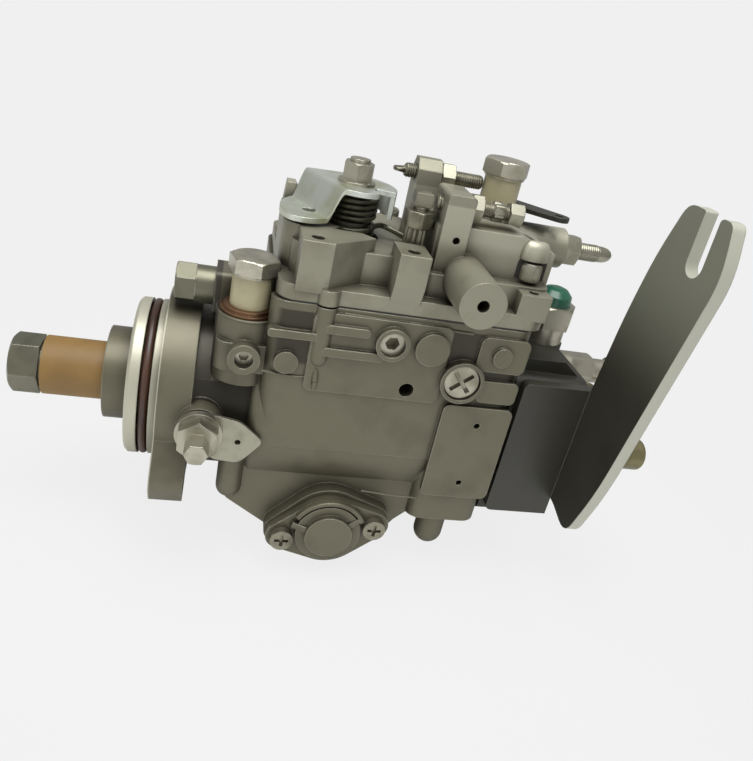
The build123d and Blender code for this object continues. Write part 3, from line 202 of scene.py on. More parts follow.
def addFloor():
    mesh = bpy.data.meshes.new("floor")
    form = bmesh.new()
    bmesh.ops.create_grid(form, x_segments=8, y_segments=8, size=backdrop["floorSize"])
    form.to_mesh(mesh)
    form.free()
    floor = bpy.data.objects.new("floor", mesh)
    bpy.context.scene.collection.objects.link(floor)
    floor.location.z = cadBox[0][2] - backdrop["floorDrop"]
    mesh.materials.append(makeFloorMaterial())


addWorld()
addFloor()
print("camera, lamps and floor set")


# materials: one builder for metals and mouldings, with its settings in one dictionary

# colours by place: each zone is bounded along its axes, from low to high with a soft low end, in mm
housingZones = [
    # turned seat in front of the flange
    ((178, 176, 158), [("X", -12.8, 0.4, 0.6)]),
    # painted shade in the recess behind the flange, low and high
    ((46, 43, 35), [("X", 13.6, 37, 0.4), ("Z", -24, 17, 8), ("Y", -35.8, 60, 0.5)]),
    ((64, 61, 53), [("X", 13.6, 20, 0.4), ("Z", 17, 60, 0.4)]),
    # painted shade on the near wall under the cover, around its ribs
    ((58, 54, 44), [("X", 42, 141, 3), ("Z", 34.5, 56.3, 2), ("Y", -42.35, 0, 0.3)]),
]
# painted light: the top of the governor cover is lighter
coverZones = [((164, 162, 145), [("Z", 87, 102, 6)])]
# painted highlight: the bar grows lighter towards its top
barZones = [((118, 119, 105), [("Z", 74, 180, 62)])]

# where a finish gives a reach for hollows, in mm, its hollows get painted shade that far out
finishes = {
    "castHousing": {"colour": (102, 99, 82), "dark": (88, 85, 70), "pale": (170, 168, 150), "metal": 0.5,
                    "rough": 0.42, "grain": 900, "grainBump": 0.25, "patch": 45, "edge": 0.75, "round": 0.8,
                    "zones": housingZones, "recessShade": 12},
    "castCover": {"colour": (138, 136, 119), "dark": (118, 115, 98), "pale": (172, 170, 154), "metal": 0.55,
                  "rough": 0.42, "grain": 900, "grainBump": 0.25, "patch": 60, "edge": 0.5, "round": 0.7,
                  "zones": coverZones, "recessShade": 9},
    "machined": {"colour": (165, 162, 146), "dark": (118, 114, 98), "pale": (205, 203, 190), "metal": 0.85,
                 "rough": 0.3, "grain": 2200, "grainBump": 0.08, "patch": 90, "edge": 0.6, "round": 0.3},
    "screwSteel": {"colour": (132, 129, 113), "dark": (92, 89, 75), "pale": (172, 170, 156), "metal": 0.8,
                   "rough": 0.34, "grain": 1500, "grainBump": 0.1, "patch": 110, "edge": 0.5, "round": 0.2},
    "boltSteel": {"colour": (150, 148, 132), "dark": (126, 124, 108), "pale": (206, 204, 192), "metal": 0.8,
                  "rough": 0.3, "grain": 1500, "grainBump": 0.08, "patch": 110, "edge": 0.6, "round": 0.2},
    "platedSheet": {"colour": (202, 207, 198), "dark": (184, 187, 160), "pale": (226, 230, 224),
                    "metal": 0.85, "rough": 0.34, "grain": 1500, "grainBump": 0.06, "patch": 70, "edge": 0.5,
                    "round": 0.3},
    "darkSteel": {"colour": (42, 41, 33), "dark": (34, 33, 26), "pale": (84, 82, 70), "metal": 0.2,
                  "rough": 0.46, "grain": 1400, "grainBump": 0.15, "patch": 50, "edge": 0.6, "round": 0.5},
    "nutSteel": {"colour": (106, 105, 89), "dark": (76, 75, 62), "pale": (182, 184, 174), "metal": 0.7,
                 "rough": 0.34, "grain": 1200, "grainBump": 0.12, "patch": 60, "edge": 0.6, "round": 0.6},
    "banjoSteel": {"colour": (176, 173, 157), "dark": (140, 137, 118), "pale": (214, 212, 200), "metal": 0.8,
                   "rough": 0.28, "grain": 1500, "grainBump": 0.06, "patch": 80, "edge": 0.6, "round": 0.3},
    "paintedBar": {"colour": (48, 47, 39), "dark": (42, 41, 34), "pale": (120, 119, 106), "metal": 0.1,
                   "rough": 0.36, "grain": 700, "grainBump": 0.1, "patch": 25, "edge": 0.4, "round": 0.5,
                   "zones": barZones, "sideHighlight": (172, 172, 158)},
    "blackPaint": {"colour": (44, 43, 36), "dark": (34, 33, 28), "pale": (90, 89, 78), "metal": 0.05,
                   "rough": 0.4, "grain": 700, "grainBump": 0.12, "patch": 25, "edge": 0.5, "round": 0.5},
    "springWire": {"colour": (88, 88, 74), "dark": (46, 46, 37), "pale": (160, 160, 146), "metal": 0.8,
                   "rough": 0.3, "grain": 1800, "grainBump": 0.1, "patch": 120, "edge": 0.3, "round": 0.2},
    "bronze": {"colour": (122, 116, 84), "dark": (84, 78, 54), "pale": (160, 154, 122), "metal": 0.7,
               "rough": 0.4, "grain": 1600, "grainBump": 0.12, "patch": 80, "edge": 0.4, "round": 0.3},
    "copper": {"colour": (122, 94, 70), "dark": (84, 60, 42), "pale": (176, 140, 116), "metal": 0.8,
               "rough": 0.36, "grain": 1600, "grainBump": 0.1, "patch": 80, "edge": 0.4, "round": 0.2},
    "brownRubber": {"colour": (72, 46, 32), "dark": (44, 28, 20), "pale": (98, 70, 54), "metal": 0.0,
                    "rough": 0.36, "grain": 1500, "grainBump": 0.1, "patch": 40, "edge": 0.2, "round": 0.3},
    "tanSleeve": {"colour": (130, 101, 50), "dark": (114, 87, 42), "pale": (156, 130, 92), "metal": 0.0,
                  "rough": 0.55, "grain": 1400, "grainBump": 0.2, "patch": 35, "edge": 0.3, "round": 0.5},
    "creamSleeve": {"colour": (166, 159, 128), "dark": (146, 139, 109), "pale": (168, 162, 136),
                    "metal": 0.0, "rough": 0.35, "grain": 1400, "grainBump": 0.06, "patch": 60, "edge": 0.3,
                    "round": 0.3},
    "greenCap": {"colour": (30, 84, 64), "dark": (16, 54, 42), "pale": (110, 150, 130), "metal": 0.0,
                 "rough": 0.25, "grain": 900, "grainBump": 0.08, "patch": 90, "edge": 0.4, "round": 0.4},
    "gasketAndPocketShade": {"colour": (40, 39, 34), "dark": (28, 27, 24), "pale": (66, 64, 56), "metal": 0.0,
                    "rough": 0.7, "grain": 1800, "grainBump": 0.2, "patch": 70, "edge": 0.2, "round": 0.1},
}

# what all finishes share; the pairs are where a mask starts and where it is full
surface = {
    "tones": (0.3, 0.52),  # noise levels of the dark and the full colour
    "wornLean": (0.985, 0.8),
    "wearGain": 2,
    "scratchScale": 9,
    # painted shade in hollows: its colour, the open-space levels where it starts and is full, and its most
    "recessShadeColour": (52, 49, 38),
    "recessShadeOpen": (0.88, 0.3),
    "recessShadeMost": 0.9,
    "polish": (-0.08, 0.14),
    "bumpDepth": 0.1,
    "zoneEnd": 0.3,
    # the bar's pale edge is a painted highlight on its faces that look across x
    "sideLean": (0.7, 0.5),
    "sideBand": (-200, -46, 0.6),  # along y: outer and inner end of the bar's pale edge, soft width
}


def edgeMask(tree, radius):
    # 1 along worn edges, from how far a rounded normal leans away from the face
    rounded = addNode(tree, "ShaderNodeBevel", samples=4)
    rounded.inputs["Radius"].default_value = radius * mm
    face = addNode(tree, "ShaderNodeNewGeometry")
    lean = addNode(tree, "ShaderNodeVectorMath", operation="DOT_PRODUCT")
    tree.links.new(rounded.outputs[0], lean.inputs[0])
    tree.links.new(face.outputs["Normal"], lean.inputs[1])
    return remap(tree, lean.outputs["Value"], *surface["wornLean"]), rounded.outputs[0]


def noiseAt(tree, place, scale, detail=4.0):
    made = addNode(tree, "ShaderNodeTexNoise")
    made.inputs["Scale"].default_value = scale
    made.inputs["Detail"].default_value = detail
    tree.links.new(place, made.inputs["Vector"])
    return made.outputs["Fac"]


def bandMask(tree, place, axis, low, high, soft):
    # 1 between two heights along an axis, given in mm, fading over the soft width at the low end
    split = addNode(tree, "ShaderNodeSeparateXYZ")
    tree.links.new(place, split.inputs[0])
    end = surface["zoneEnd"]
    above, below = [remap(tree, split.outputs[axis], start * mm, stop * mm, curve="SMOOTHSTEP")
                    for start, stop in ((low - soft / 2, low + soft / 2), (high + end, high - end))]
    return product(tree, above, below)


def sideHighlightMask(tree):
    # 1 on the faces of the bar that look across the piece's x direction, which get a painted highlight
    spot = addNode(tree, "ShaderNodeTexCoord")
    split = addNode(tree, "ShaderNodeSeparateXYZ")
    tree.links.new(spot.outputs["Normal"], split.inputs[0])
    lean = addNode(tree, "ShaderNodeMath", operation="ABSOLUTE")
    tree.links.new(split.outputs["X"], lean.inputs[0])
    across = remap(tree, lean.outputs[0], *surface["sideLean"])
    return product(tree, across, bandMask(tree, spot.outputs["Object"], "Y", *surface["sideBand"]))


def zoneMask(tree, place, bands):
    inside = bandMask(tree, place, *bands[0])
    for band in bands[1:]:
        inside = product(tree, inside, bandMask(tree, place, *band))
    return inside


def recessShadeMask(tree, distance):
    # painted shade in hollows, up to its most, by how little open space a point sees
    hollow = addNode(tree, "ShaderNodeAmbientOcclusion", samples=6)
    hollow.inputs["Distance"].default_value = distance * mm
    return remap(tree, hollow.outputs["AO"], *surface["recessShadeOpen"], high=surface["recessShadeMost"])


def mixColour(tree, factor, first, second):
    mix = addNode(tree, "ShaderNodeMix", data_type="RGBA")
    tree.links.new(factor, mix.inputs["Factor"])
    tree.links.new(first, mix.inputs[6])
    mix.inputs[7].default_value = srgb(*second)
    return mix.outputs[2]


def finishColour(tree, look, place, patches, edges):
    tones = addNode(tree, "ShaderNodeValToRGB")
    for element, level, tone in zip(tones.color_ramp.elements, surface["tones"], ("dark", "colour")):
        element.position = level
        element.color = srgb(*look[tone])
    tree.links.new(patches, tones.inputs["Fac"])
    colour = tones.outputs["Color"]
    for shade, bands in look.get("zones", []):
        colour = mixColour(tree, zoneMask(tree, place, bands), colour, shade)
    # painted highlight on the bar's edge faces
    if "sideHighlight" in look:
        colour = mixColour(tree, sideHighlightMask(tree), colour, look["sideHighlight"])
    scratches = noiseAt(tree, place, look["patch"] * surface["scratchScale"], 6.0)
    worn = addNode(tree, "ShaderNodeMath", operation="MULTIPLY", use_clamp=True)
    tree.links.new(product(tree, edges, scratches), worn.inputs[0])
    worn.inputs[1].default_value = look["edge"] * surface["wearGain"]
    colour = mixColour(tree, worn.outputs[0], colour, look["pale"])
    # painted shade darkens the hollows
    if "recessShade" in look:
        colour = mixColour(tree, recessShadeMask(tree, look["recessShade"]), colour, surface["recessShadeColour"])
    return colour


def makeFinish(name, look):
    material = bpy.data.materials.new(name)
    material.use_nodes = True
    tree = material.node_tree
    shader = tree.nodes["Principled BSDF"]
    shader.inputs["Metallic"].default_value = look["metal"]
    place = addNode(tree, "ShaderNodeTexCoord").outputs["Object"]
    patches = noiseAt(tree, place, look["patch"])
    edges, rounded = edgeMask(tree, look["round"])
    tree.links.new(finishColour(tree, look, place, patches, edges), shader.inputs["Base Color"])
    smooth, dull = surface["polish"]
    polish = remap(tree, patches, 0, 1, look["rough"] + smooth, look["rough"] + dull)
    tree.links.new(polish, shader.inputs["Roughness"])
    bump = addNode(tree, "ShaderNodeBump")
    bump.inputs["Strength"].default_value = look["grainBump"]
    bump.inputs["Distance"].default_value = surface["bumpDepth"] * mm
    tree.links.new(noiseAt(tree, place, look["grain"], 2.0), bump.inputs["Height"])
    tree.links.new(rounded, bump.inputs["Normal"])
    tree.links.new(bump.outputs["Normal"], shader.inputs["Normal"])
    return material


materials = {name: makeFinish(name, look) for name, look in finishes.items()}
print("materials:", len(materials))

# which finish each CAD node wears; the rest are machined steel
wornBy = {
    "castHousing": ["pump_housing", "timing_covers"],
    "castCover": ["governor_cover"],
    "platedSheet": ["throttle_lever"],
    "boltSteel": ["tag_washer"],
    "darkSteel": ["distributor_head", "stop_lever"],
    "screwSteel": ["timing_screws"],
    "nutSteel": ["shaft_nut", "pressure_valve"],
    "paintedBar": ["rear_bracket"],
    "blackPaint": ["head_bolts"],
    "springWire": ["return_spring", "plunger_springs", "timing_spring", "governor_spring"],
    "bronze": ["shaft_bush", "outlet_caps"],
    "copper": ["sealing_washers"],
    "brownRubber": ["pilot_o_ring", "shaft_seal"],
    "tanSleeve": ["shaft_sleeve"],
    "creamSleeve": ["port_sleeves"],
    "greenCap": ["solenoid_cap"],
    "gasketAndPocketShade": ["cover_gasket"],
}
finishOf = {node: finish for finish, group in wornBy.items() for node in group}
for name, part in cadNodes.items():
    part.data.materials.clear()
    part.data.materials.append(materials[finishOf.get(name, "machined")])
print("CAD nodes dressed")


# mesh tools: points are gathered in millimetres and scaled when the piece is made

def makeFrame(origin, along, side):
    # placing matrix with x along the piece's axis, y to its side
    x = Vector(along).normalized()
    y = Vector(side).normalized()
    turn = Matrix((x, y, x.cross(y))).transposed().to_4x4()
    return Matrix.Translation(Vector(origin)) @ turn


def addSkin(form, rings):
    # skin through closed rings of points, with both ends capped
    made = [[form.verts.new(point) for point in ring] for ring in rings]
    count = len(made[0])
    for low, high in zip(made, made[1:]):
        for step in range(count):
            other = (step + 1) % count
            form.faces.new((low[step], low[other], high[other], high[step]))
    form.faces.new(list(reversed(made[0])))
    form.faces.new(made[-1])


def addRings(form, place, rings):
    # rings of points given as (along, y, z) in the frame of the piece
    addSkin(form, [[place @ Vector(point) for point in ring] for ring in rings])


def wholeTurn(count):
    return [2 * math.pi * step / count for step in range(count)]


def ovalRing(along, wide, thick, count):
    return [(along, wide * math.cos(angle), thick * math.sin(angle)) for angle in wholeTurn(count)]


def roundRings(profile, count=32):
    # profile of (along, radius)
    return [ovalRing(along, radius, radius, count) for along, radius in profile]


def flutedRings(profile, flutes, fine=6):
    # profile of (along, radius, depth of the flutes)
    rings = []
    for along, radius, depth in profile:
        ring = []
        for angle in wholeTurn(flutes * fine):
            reach = radius - depth * (0.5 - 0.5 * math.cos(angle * flutes)) ** 2
            ring.append((along, reach * math.cos(angle), reach * math.sin(angle)))
        rings.append(ring)
    return rings


def hexRing(along, flats, limit=None, fine=6):
    # hexagon whose corners stop at the limit radius, so that two of them make a chamfered end
    ring = []
    for angle in wholeTurn(6 * fine):
        fold = (angle + math.pi / 6) % (math.pi / 3) - math.pi / 6
        reach = flats / 2 / math.cos(fold)
        if limit:
            reach = min(reach, limit)
        ring.append((along, reach * math.cos(angle), reach * math.sin(angle)))
    return ring


hexEnd = {"face": 0.97, "drop": 0.55}  # end circle as a share of the flats, chamfer as a share of the corner


def addHexagon(form, place, start, flats, length):
    # hexagon with both ends chamfered
    corner = flats / 2 / math.cos(math.pi / 6)
    drop = (corner - flats / 2) * hexEnd["drop"]
    face = flats / 2 * hexEnd["face"]
    middle = (flats / 2 + corner) / 2
    end = start + length
    addRings(form, place, [hexRing(start, flats, face), hexRing(start + drop / 2, flats, middle),
                           hexRing(start + drop, flats), hexRing(end - drop, flats),
                           hexRing(end - drop / 2, flats, middle), hexRing(end, flats, face)])


threadForm = {"around": 28, "rowsPerTurn": 6, "tip": 1.0, "tipSlope": 0.7}


def addThread(form, rod):
    # threaded rod along x: the radius falls by the thread's depth along one helix, the tips are chamfered
    rings = []
    rows = int(rod["length"] / rod["pitch"] * threadForm["rowsPerTurn"])
    for row in range(rows + 1):
        along = rod["length"] * row / rows
        left = min(along, rod["length"] - along)
        ring = []
        for step in range(threadForm["around"]):
            turn = step / threadForm["around"]
            phase = (along / rod["pitch"] - turn) % 1
            reach = rod["radius"] - rod["depth"] * abs(2 * phase - 1)
            if left < threadForm["tip"]:
                reach = min(reach, rod["radius"] - (threadForm["tip"] - left) * threadForm["tipSlope"])
            angle = 2 * math.pi * turn
            ring.append((rod["start"] + along, reach * math.cos(angle), reach * math.sin(angle)))
        rings.append(ring)
    addRings(form, makeFrame(rod["place"], (1, 0, 0), (0, 1, 0)), rings)


def addTube(form, path, radius, count=10, side=Vector((0, 0, 1))):
    # round wire along a path of points
    points = [Vector(point) for point in path]
    rings = []
    for step, point in enumerate(points):
        before = points[max(step - 1, 0)]
        after = points[min(step + 1, len(points) - 1)]
        along = (after - before).normalized()
        across = along.cross(side).normalized()
        up = across.cross(along)
        rings.append([point + radius * (math.cos(angle) * across + math.sin(angle) * up)
                      for angle in wholeTurn(count)])
    addSkin(form, rings)


def smoothPath(points, fine=6):
    # Catmull-Rom line through the points
    line = [Vector(point) for point in points]
    ends = [2 * line[0] - line[1]] + line + [2 * line[-1] - line[-2]]
    out = []
    for a, b, c, d in zip(ends, ends[1:], ends[2:], ends[3:]):
        for step in range(fine):
            t = step / fine
            out.append(0.5 * (2 * b + (c - a) * t + (2 * a - 5 * b + 4 * c - d) * t ** 2
                              + (3 * b - a - 3 * c + d) * t ** 3))
    return out + [line[-1]]


def coil(turns, fine, start=0):
    # share of the way, cosine and sine at each step along a coil
    steps = turns * fine
    angles = [math.radians(step * 360 / fine + start) for step in range(steps + 1)]
    return [(step / steps, math.cos(angle), math.sin(angle)) for step, angle in enumerate(angles)]


def turned(points, radius=0, fine=5, trim=0):
    # closed outline with its corners rounded; a point may carry its own radius, and trim drops end points
    mostOfSide = 0.45
    smallest = 0.05
    out = []
    for step, point in enumerate(points):
        here = Vector(point[:2])
        own = point[2] if len(point) > 2 else radius
        before = Vector(points[step - 1][:2]) - here
        after = Vector(points[(step + 1) % len(points)][:2]) - here
        reach = min(own, before.length * mostOfSide, after.length * mostOfSide)
        if reach < smallest:
            out.append(here)
            continue
        start = here + before.normalized() * reach
        end = here + after.normalized() * reach
        for k in range(fine + 1):
            t = k / fine
            out.append((1 - t) ** 2 * start + 2 * t * (1 - t) * here + t ** 2 * end)
    return out[trim:len(out) - trim]


def circle(spot, radius, count=24):
    return [(spot[0] + radius * math.cos(angle), spot[1] + radius * math.sin(angle))
            for angle in wholeTurn(count)]


def addMesh(form, other, place=Matrix()):
    twins = {vert: form.verts.new(place @ vert.co) for vert in other.verts}
    for face in other.faces:
        form.faces.new([twins[vert] for vert in face.verts])
    other.free()


def addSheet(form, outline, holes, thickness, cuts=(), lift=None, place=Matrix()):
    # folded sheet: an outline with holes, cut along its folds, lifted to its height and thickened
    sheet = bmesh.new()
    edges = []
    for loop in [outline] + list(holes):
        verts = [sheet.verts.new((point[0], point[1], 0)) for point in loop]
        edges += [sheet.edges.new((verts[k], verts[(k + 1) % len(verts)])) for k in range(len(verts))]
    bmesh.ops.triangle_fill(sheet, edges=edges, use_beauty=True)
    for spot, way in cuts:
        bmesh.ops.bisect_plane(sheet, geom=sheet.verts[:] + sheet.edges[:] + sheet.faces[:],
                               plane_co=spot, plane_no=way)
    if lift:
        for vert in sheet.verts:
            vert.co.z = lift(vert.co)
    bmesh.ops.recalc_face_normals(sheet, faces=sheet.faces)
    grown = bmesh.ops.extrude_face_region(sheet, geom=sheet.faces[:])
    bmesh.ops.translate(sheet, vec=(0, 0, thickness),
                        verts=[item for item in grown["geom"] if isinstance(item, bmesh.types.BMVert)])
    addMesh(form, sheet, place)


def makePiece(name, form, finish, body, sharp=35):
    for vert in form.verts:
        vert.co *= mm
    bmesh.ops.recalc_face_normals(form, faces=form.faces)
    for face in form.faces:
        face.smooth = True
    for edge in form.edges:
        edge.smooth = not (edge.is_manifold and edge.calc_face_angle(0) > math.radians(sharp))
    mesh = bpy.data.meshes.new(name)
    form.to_mesh(mesh)
    form.free()
    piece = bpy.data.objects.new(name, mesh)
    bpy.context.scene.collection.objects.link(piece)
    mesh.materials.append(materials[finish])
    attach(piece, body)
    return piece


# adjusting screws with their threads, the flat end of the idle screw and the fluted stop;
# a nut is (start, flats, length) along its screw

adjusters = {
    "idle": {"place": (0, 0, 106), "start": 86.5, "length": 33, "radius": 3, "pitch": 1, "depth": 0.45,
             "nut": (101.2, 10, 5.8)},
    "speed": {"place": (0, -23, 100.4), "start": 96, "length": 35, "radius": 3, "pitch": 1, "depth": 0.45,
              "nut": (109.2, 10, 5)},
    "fullLoad": {"place": (0, 10, 82), "start": 134, "length": 52, "radius": 4, "pitch": 1, "depth": 0.35,
                 "nut": (167, 12.6, 8)},
}
idleEnd = {"count": 20,
           "profile": ((82, 1.2, 0.7), (82.6, 2.1, 1.0), (84, 2.6, 1.1), (85.6, 2.2, 1.3), (86.8, 1.6, 1.6))}
noseProfile = ((185.6, 3.7), (188.5, 3.6), (190.6, 3.1), (192, 2.2), (192.8, 1.2), (193, 0.4))
flutedStop = {
    "place": (91, -22, 79.2),
    "flutes": 10,
    "profile": ((-5, 3.2, 0), (0, 3.2, 0), (0.2, 4.2, 0.9), (0.8, 4.6, 1.1), (9.5, 4.6, 1.1),
                (10.3, 4.2, 0.9)),
    "flats": 11,
    "collar": 6.5,
    "neck": ((0, 3), (1.4, 3)),
    "block": (3.5, 3),
    "blockProfile": ((1.4, 0.9), (1.8, 1), (6.3, 1), (6.8, 0.9)),  # height above the collar, share
}


def addFlutedStop(form):
    place = makeFrame(flutedStop["place"], (0, 0, 1), (1, 0, 0))
    addRings(form, place, flutedRings(flutedStop["profile"], flutedStop["flutes"]))
    rise = flutedStop["profile"][-1][0]
    addHexagon(form, place, rise, flutedStop["flats"], flutedStop["collar"])
    top = rise + flutedStop["collar"]
    addRings(form, place, roundRings([(top + up, radius) for up, radius in flutedStop["neck"]]))
    wide, deep = flutedStop["block"]
    rim = [(wide, deep), (-wide, deep), (-wide, -deep), (wide, -deep)]
    addRings(form, place, [[(top + up, y * share, z * share) for y, z in rim]
                           for up, share in flutedStop["blockProfile"]])


form = bmesh.new()
addThread(form, adjusters["idle"])
addThread(form, adjusters["speed"])
addRings(form, makeFrame(adjusters["idle"]["place"], (1, 0, 0), (0, 1, 0)),
         [ovalRing(along, wide, thick, idleEnd["count"]) for along, wide, thick in idleEnd["profile"]])
addFlutedStop(form)
screwPiece = makePiece("adjustingScrews", form, "screwSteel", "pump", 50)
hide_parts("adjusting_screws")

form = bmesh.new()
addThread(form, adjusters["fullLoad"])
addRings(form, makeFrame(adjusters["fullLoad"]["place"], (1, 0, 0), (0, 1, 0)), roundRings(noseProfile))
makePiece("fullLoadScrew", form, "boltSteel", "pump", 50)

# locknuts with chamfered corners, and the castle end of the speed screw

nutTurn = 0.4
castleEnd = {
    "turn": 0.3,
    "flutes": 6,
    "profile": ((118.8, 3.3, 0.3), (119.2, 3.9, 0.8), (122.8, 3.9, 0.8), (123.2, 3.4, 0.3), (124.2, 2.6, 0),
                (125.2, 2.6, 0)),
    "hexagon": (125.2, 8, 6),
}


def screwFrame(rod, turn):
    return makeFrame(rod["place"], (1, 0, 0), (0, math.cos(turn), math.sin(turn)))


form = bmesh.new()
for rod in adjusters.values():
    addHexagon(form, screwFrame(rod, nutTurn), *rod["nut"])
place = screwFrame(adjusters["speed"], castleEnd["turn"])
addRings(form, place, flutedRings(castleEnd["profile"], castleEnd["flutes"]))
addHexagon(form, place, *castleEnd["hexagon"])
nutPiece = makePiece("screwLocknuts", form, "boltSteel", "pump", 40)
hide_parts("screw_locknuts")
print("adjusting screws and locknuts made")

# hollow bolts of the two fuel ports

ports = {"inlet": {"spot": (31.3, -26), "seat": 62.7, "turn": 15.6},
         "overflow": {"spot": (128, -1), "seat": 110.2, "turn": -28.4}}
hollowBolt = {"hexagon": (0.5, 17.2, 6.5), "collar": ((0, 8.4), (0.6, 8.4)), "collarCount": 48,
              "shank": ((-27, 4.6), (-26.4, 5), (0.2, 5))}

form = bmesh.new()
for port in ports.values():
    turn = math.radians(port["turn"])
    place = makeFrame((*port["spot"], port["seat"]), (0, 0, 1), (math.cos(turn), math.sin(turn), 0))
    addHexagon(form, place, *hollowBolt["hexagon"])
    addRings(form, place, roundRings(hollowBolt["collar"], hollowBolt["collarCount"]))
    addRings(form, place, roundRings(hollowBolt["shank"]))
banjoPiece = makePiece("banjoBolts", form, "banjoSteel", "pump", 30)
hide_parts("banjo_bolts")

# throttle lever: low tab, slope and round plate in one sheet, with the fold that guards the spring

throttle = {
    "axis": (67, -8),
    "low": 85.2,
    "high": 97,
    "thickness": 2,
    "foldNear": 11,
    "foldFar": 16.5,
    "foldCuts": (10, 0.6),  # number and spacing of the cuts that let the slope bend
    "tabWay": (-0.907, -0.42),
    "tab": ((60, 7.5), (52, 6.5), (44, 4.5), (38.6, -6), (38.2, -18), (41.5, -26.5), (50, -27),
            (56.5, -22.5), (60.5, -22.6)),
    "tabCorner": 6,
    "tabHole": ((49.5, -14.5), 2.7),
    "plateArc": (-24, 101, 6),
    "nearArc": (-112, -58, 6),
    "nearRadius": 15.5,
    "notch": ((15.4, -60), (8.8, -46), (8.6, -32), (14.2, -24)),  # radius and angle about the axis
    "notchCorner": 2.5,
    "shaftHole": 4.3,
}
guard = {"arc": (-24, 62), "steps": 21, "radius": 16.4, "bottom": 88.2, "top": 98.7, "wall": 1.9,
         "bevel": (0.3, 0.7), "riseFrom": 48, "riseSlope": 0.5}
hub = {"foot": 85.1, "profile": ((0, 5.6), (0.6, 6.2), (11.8, 6.2))}
axis = Vector(throttle["axis"])


def leverHeight(spot):
    away = (Vector((spot[0], spot[1])) - axis).dot(Vector(throttle["tabWay"]))
    share = (away - throttle["foldNear"]) / (throttle["foldFar"] - throttle["foldNear"])
    share = min(max(share, 0), 1)
    return throttle["high"] + (throttle["low"] - throttle["high"]) * share * share * (3 - 2 * share)


def aboutAxis(radius, degrees):
    angle = math.radians(degrees)
    return (axis.x + radius * math.cos(angle), axis.y + radius * math.sin(angle))


def leverOutline():
    outline = [aboutAxis(guard["radius"], angle) for angle in range(*throttle["plateArc"])]
    outline += turned(throttle["tab"], throttle["tabCorner"], trim=6)
    outline += [aboutAxis(throttle["nearRadius"], angle) for angle in range(*throttle["nearArc"])]
    notch = [aboutAxis(radius, angle) for radius, angle in throttle["notch"]]
    return outline + turned(notch, throttle["notchCorner"], trim=3)


def guardRings():
    # wall hanging from the plate's rim, cut away at a slant on its far end
    rings = []
    start, end = guard["arc"]
    inset, drop = guard["bevel"]
    for step in range(guard["steps"] + 1):
        angle = start + (end - start) * step / guard["steps"]
        bottom = guard["bottom"] + max(angle - guard["riseFrom"], 0) * guard["riseSlope"]
        corners = ((0, bottom), (0, guard["top"] - drop), (inset, guard["top"]),
                   (guard["wall"], guard["top"]), (guard["wall"], bottom))
        rings.append([(*aboutAxis(guard["radius"] - inward, angle), height) for inward, height in corners])
    return rings


form = bmesh.new()
way = Vector((*throttle["tabWay"], 0))
cutCount, cutStep = throttle["foldCuts"]
folds = [(Vector((*axis, 0)) + way * (throttle["foldNear"] + k * cutStep), way) for k in range(cutCount)]
addSheet(form, leverOutline(), [circle(*throttle["tabHole"]), circle(axis, throttle["shaftHole"])],
         throttle["thickness"], folds, leverHeight)
addRings(form, Matrix(), guardRings())
leverPiece = makePiece("throttleLever", form, "platedSheet", "throttle", 30)
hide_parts("throttle_lever")

form = bmesh.new()
addRings(form, makeFrame((*axis, hub["foot"]), (0, 0, 1), (1, 0, 0)), roundRings(hub["profile"]))
makePiece("throttleHub", form, "springWire", "throttle")

# upper turns of the return spring

returnSpring = {"radius": 9.2, "wire": 1.05, "foot": 85.6, "rise": 9.2, "turns": 4, "steps": 36, "start": 40}

form = bmesh.new()
path = [(axis.x + returnSpring["radius"] * across, axis.y + returnSpring["radius"] * side,
         returnSpring["foot"] + returnSpring["rise"] * share)
        for share, across, side in coil(returnSpring["turns"], returnSpring["steps"], returnSpring["start"])]
addTube(form, path, returnSpring["wire"])
makePiece("returnSpringTurns", form, "springWire", "pump")
print("throttle made")

# spring behind the timing piston; in the pump it shortens as the piston moves, here it is made at one length

timingSpring = {"x": 76, "z": -42, "start": 10.1, "length": 31.6, "anchor": 42.6, "radius": 5.4, "wire": 0.9,
                "turns": 6, "steps": 24, "keep": 0.76}

form = bmesh.new()
path = [(timingSpring["x"] + timingSpring["radius"] * across,
         timingSpring["start"] + timingSpring["length"] * share,
         timingSpring["z"] + timingSpring["radius"] * up)
        for share, across, up in coil(timingSpring["turns"], timingSpring["steps"])]
addTube(form, path, timingSpring["wire"], side=Vector((0, 1, 0)))
springPiece = makePiece("timingSpring", form, "springWire", "pump")
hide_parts("timing_spring")
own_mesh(springPiece)

# bolts of the cover with knurled heads and hexagon sockets

coverBolts = {
    "spots": ((141, -22), (141, 25), (54, 35), (92, 36)),
    "seat": 73.5,
    "knurl": 36,
    "head": ((0, 4.2, 0.05), (0.4, 4.5, 0.35), (7, 4.5, 0.35), (7.2, 4.15, 0), (7.85, 4.05, 0), (8, 3.7, 0)),
    "socket": ((0, 4.08), (0.3, 3.76), (4, 3.76)),  # depth, flats
    "shank": ((-26, 2.5), (0, 2.5)),
}

form = bmesh.new()
for x, y in coverBolts["spots"]:
    place = makeFrame((x, y, coverBolts["seat"]), (0, 0, 1), (1, 0, 0))
    rings = flutedRings(coverBolts["head"], coverBolts["knurl"], 4)
    rise = coverBolts["head"][-1][0]
    rings += [hexRing(rise - depth, flats, fine=24) for depth, flats in coverBolts["socket"]]
    addRings(form, place, rings)
    addRings(form, place, roundRings(coverBolts["shank"]))
boltPiece = makePiece("coverBolts", form, "boltSteel", "pump", 50)
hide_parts("cover_bolts")

# free leg of the return spring, hooked behind the middle lug

springLeg = {"wire": 1.1, "route": ((74, -15.5, 84), (77.5, -11, 84.2), (80.5, -8.6, 84), (85, -9.6, 83),
                                    (90, -10.8, 81.4), (93.6, -11.2, 80.2))}

form = bmesh.new()
addTube(form, smoothPath(springLeg["route"]), springLeg["wire"])
makePiece("returnSpringLeg", form, "springWire", "pump")
print("bolts and spring leg made")

# screw under its hood on the near face of the governor cover

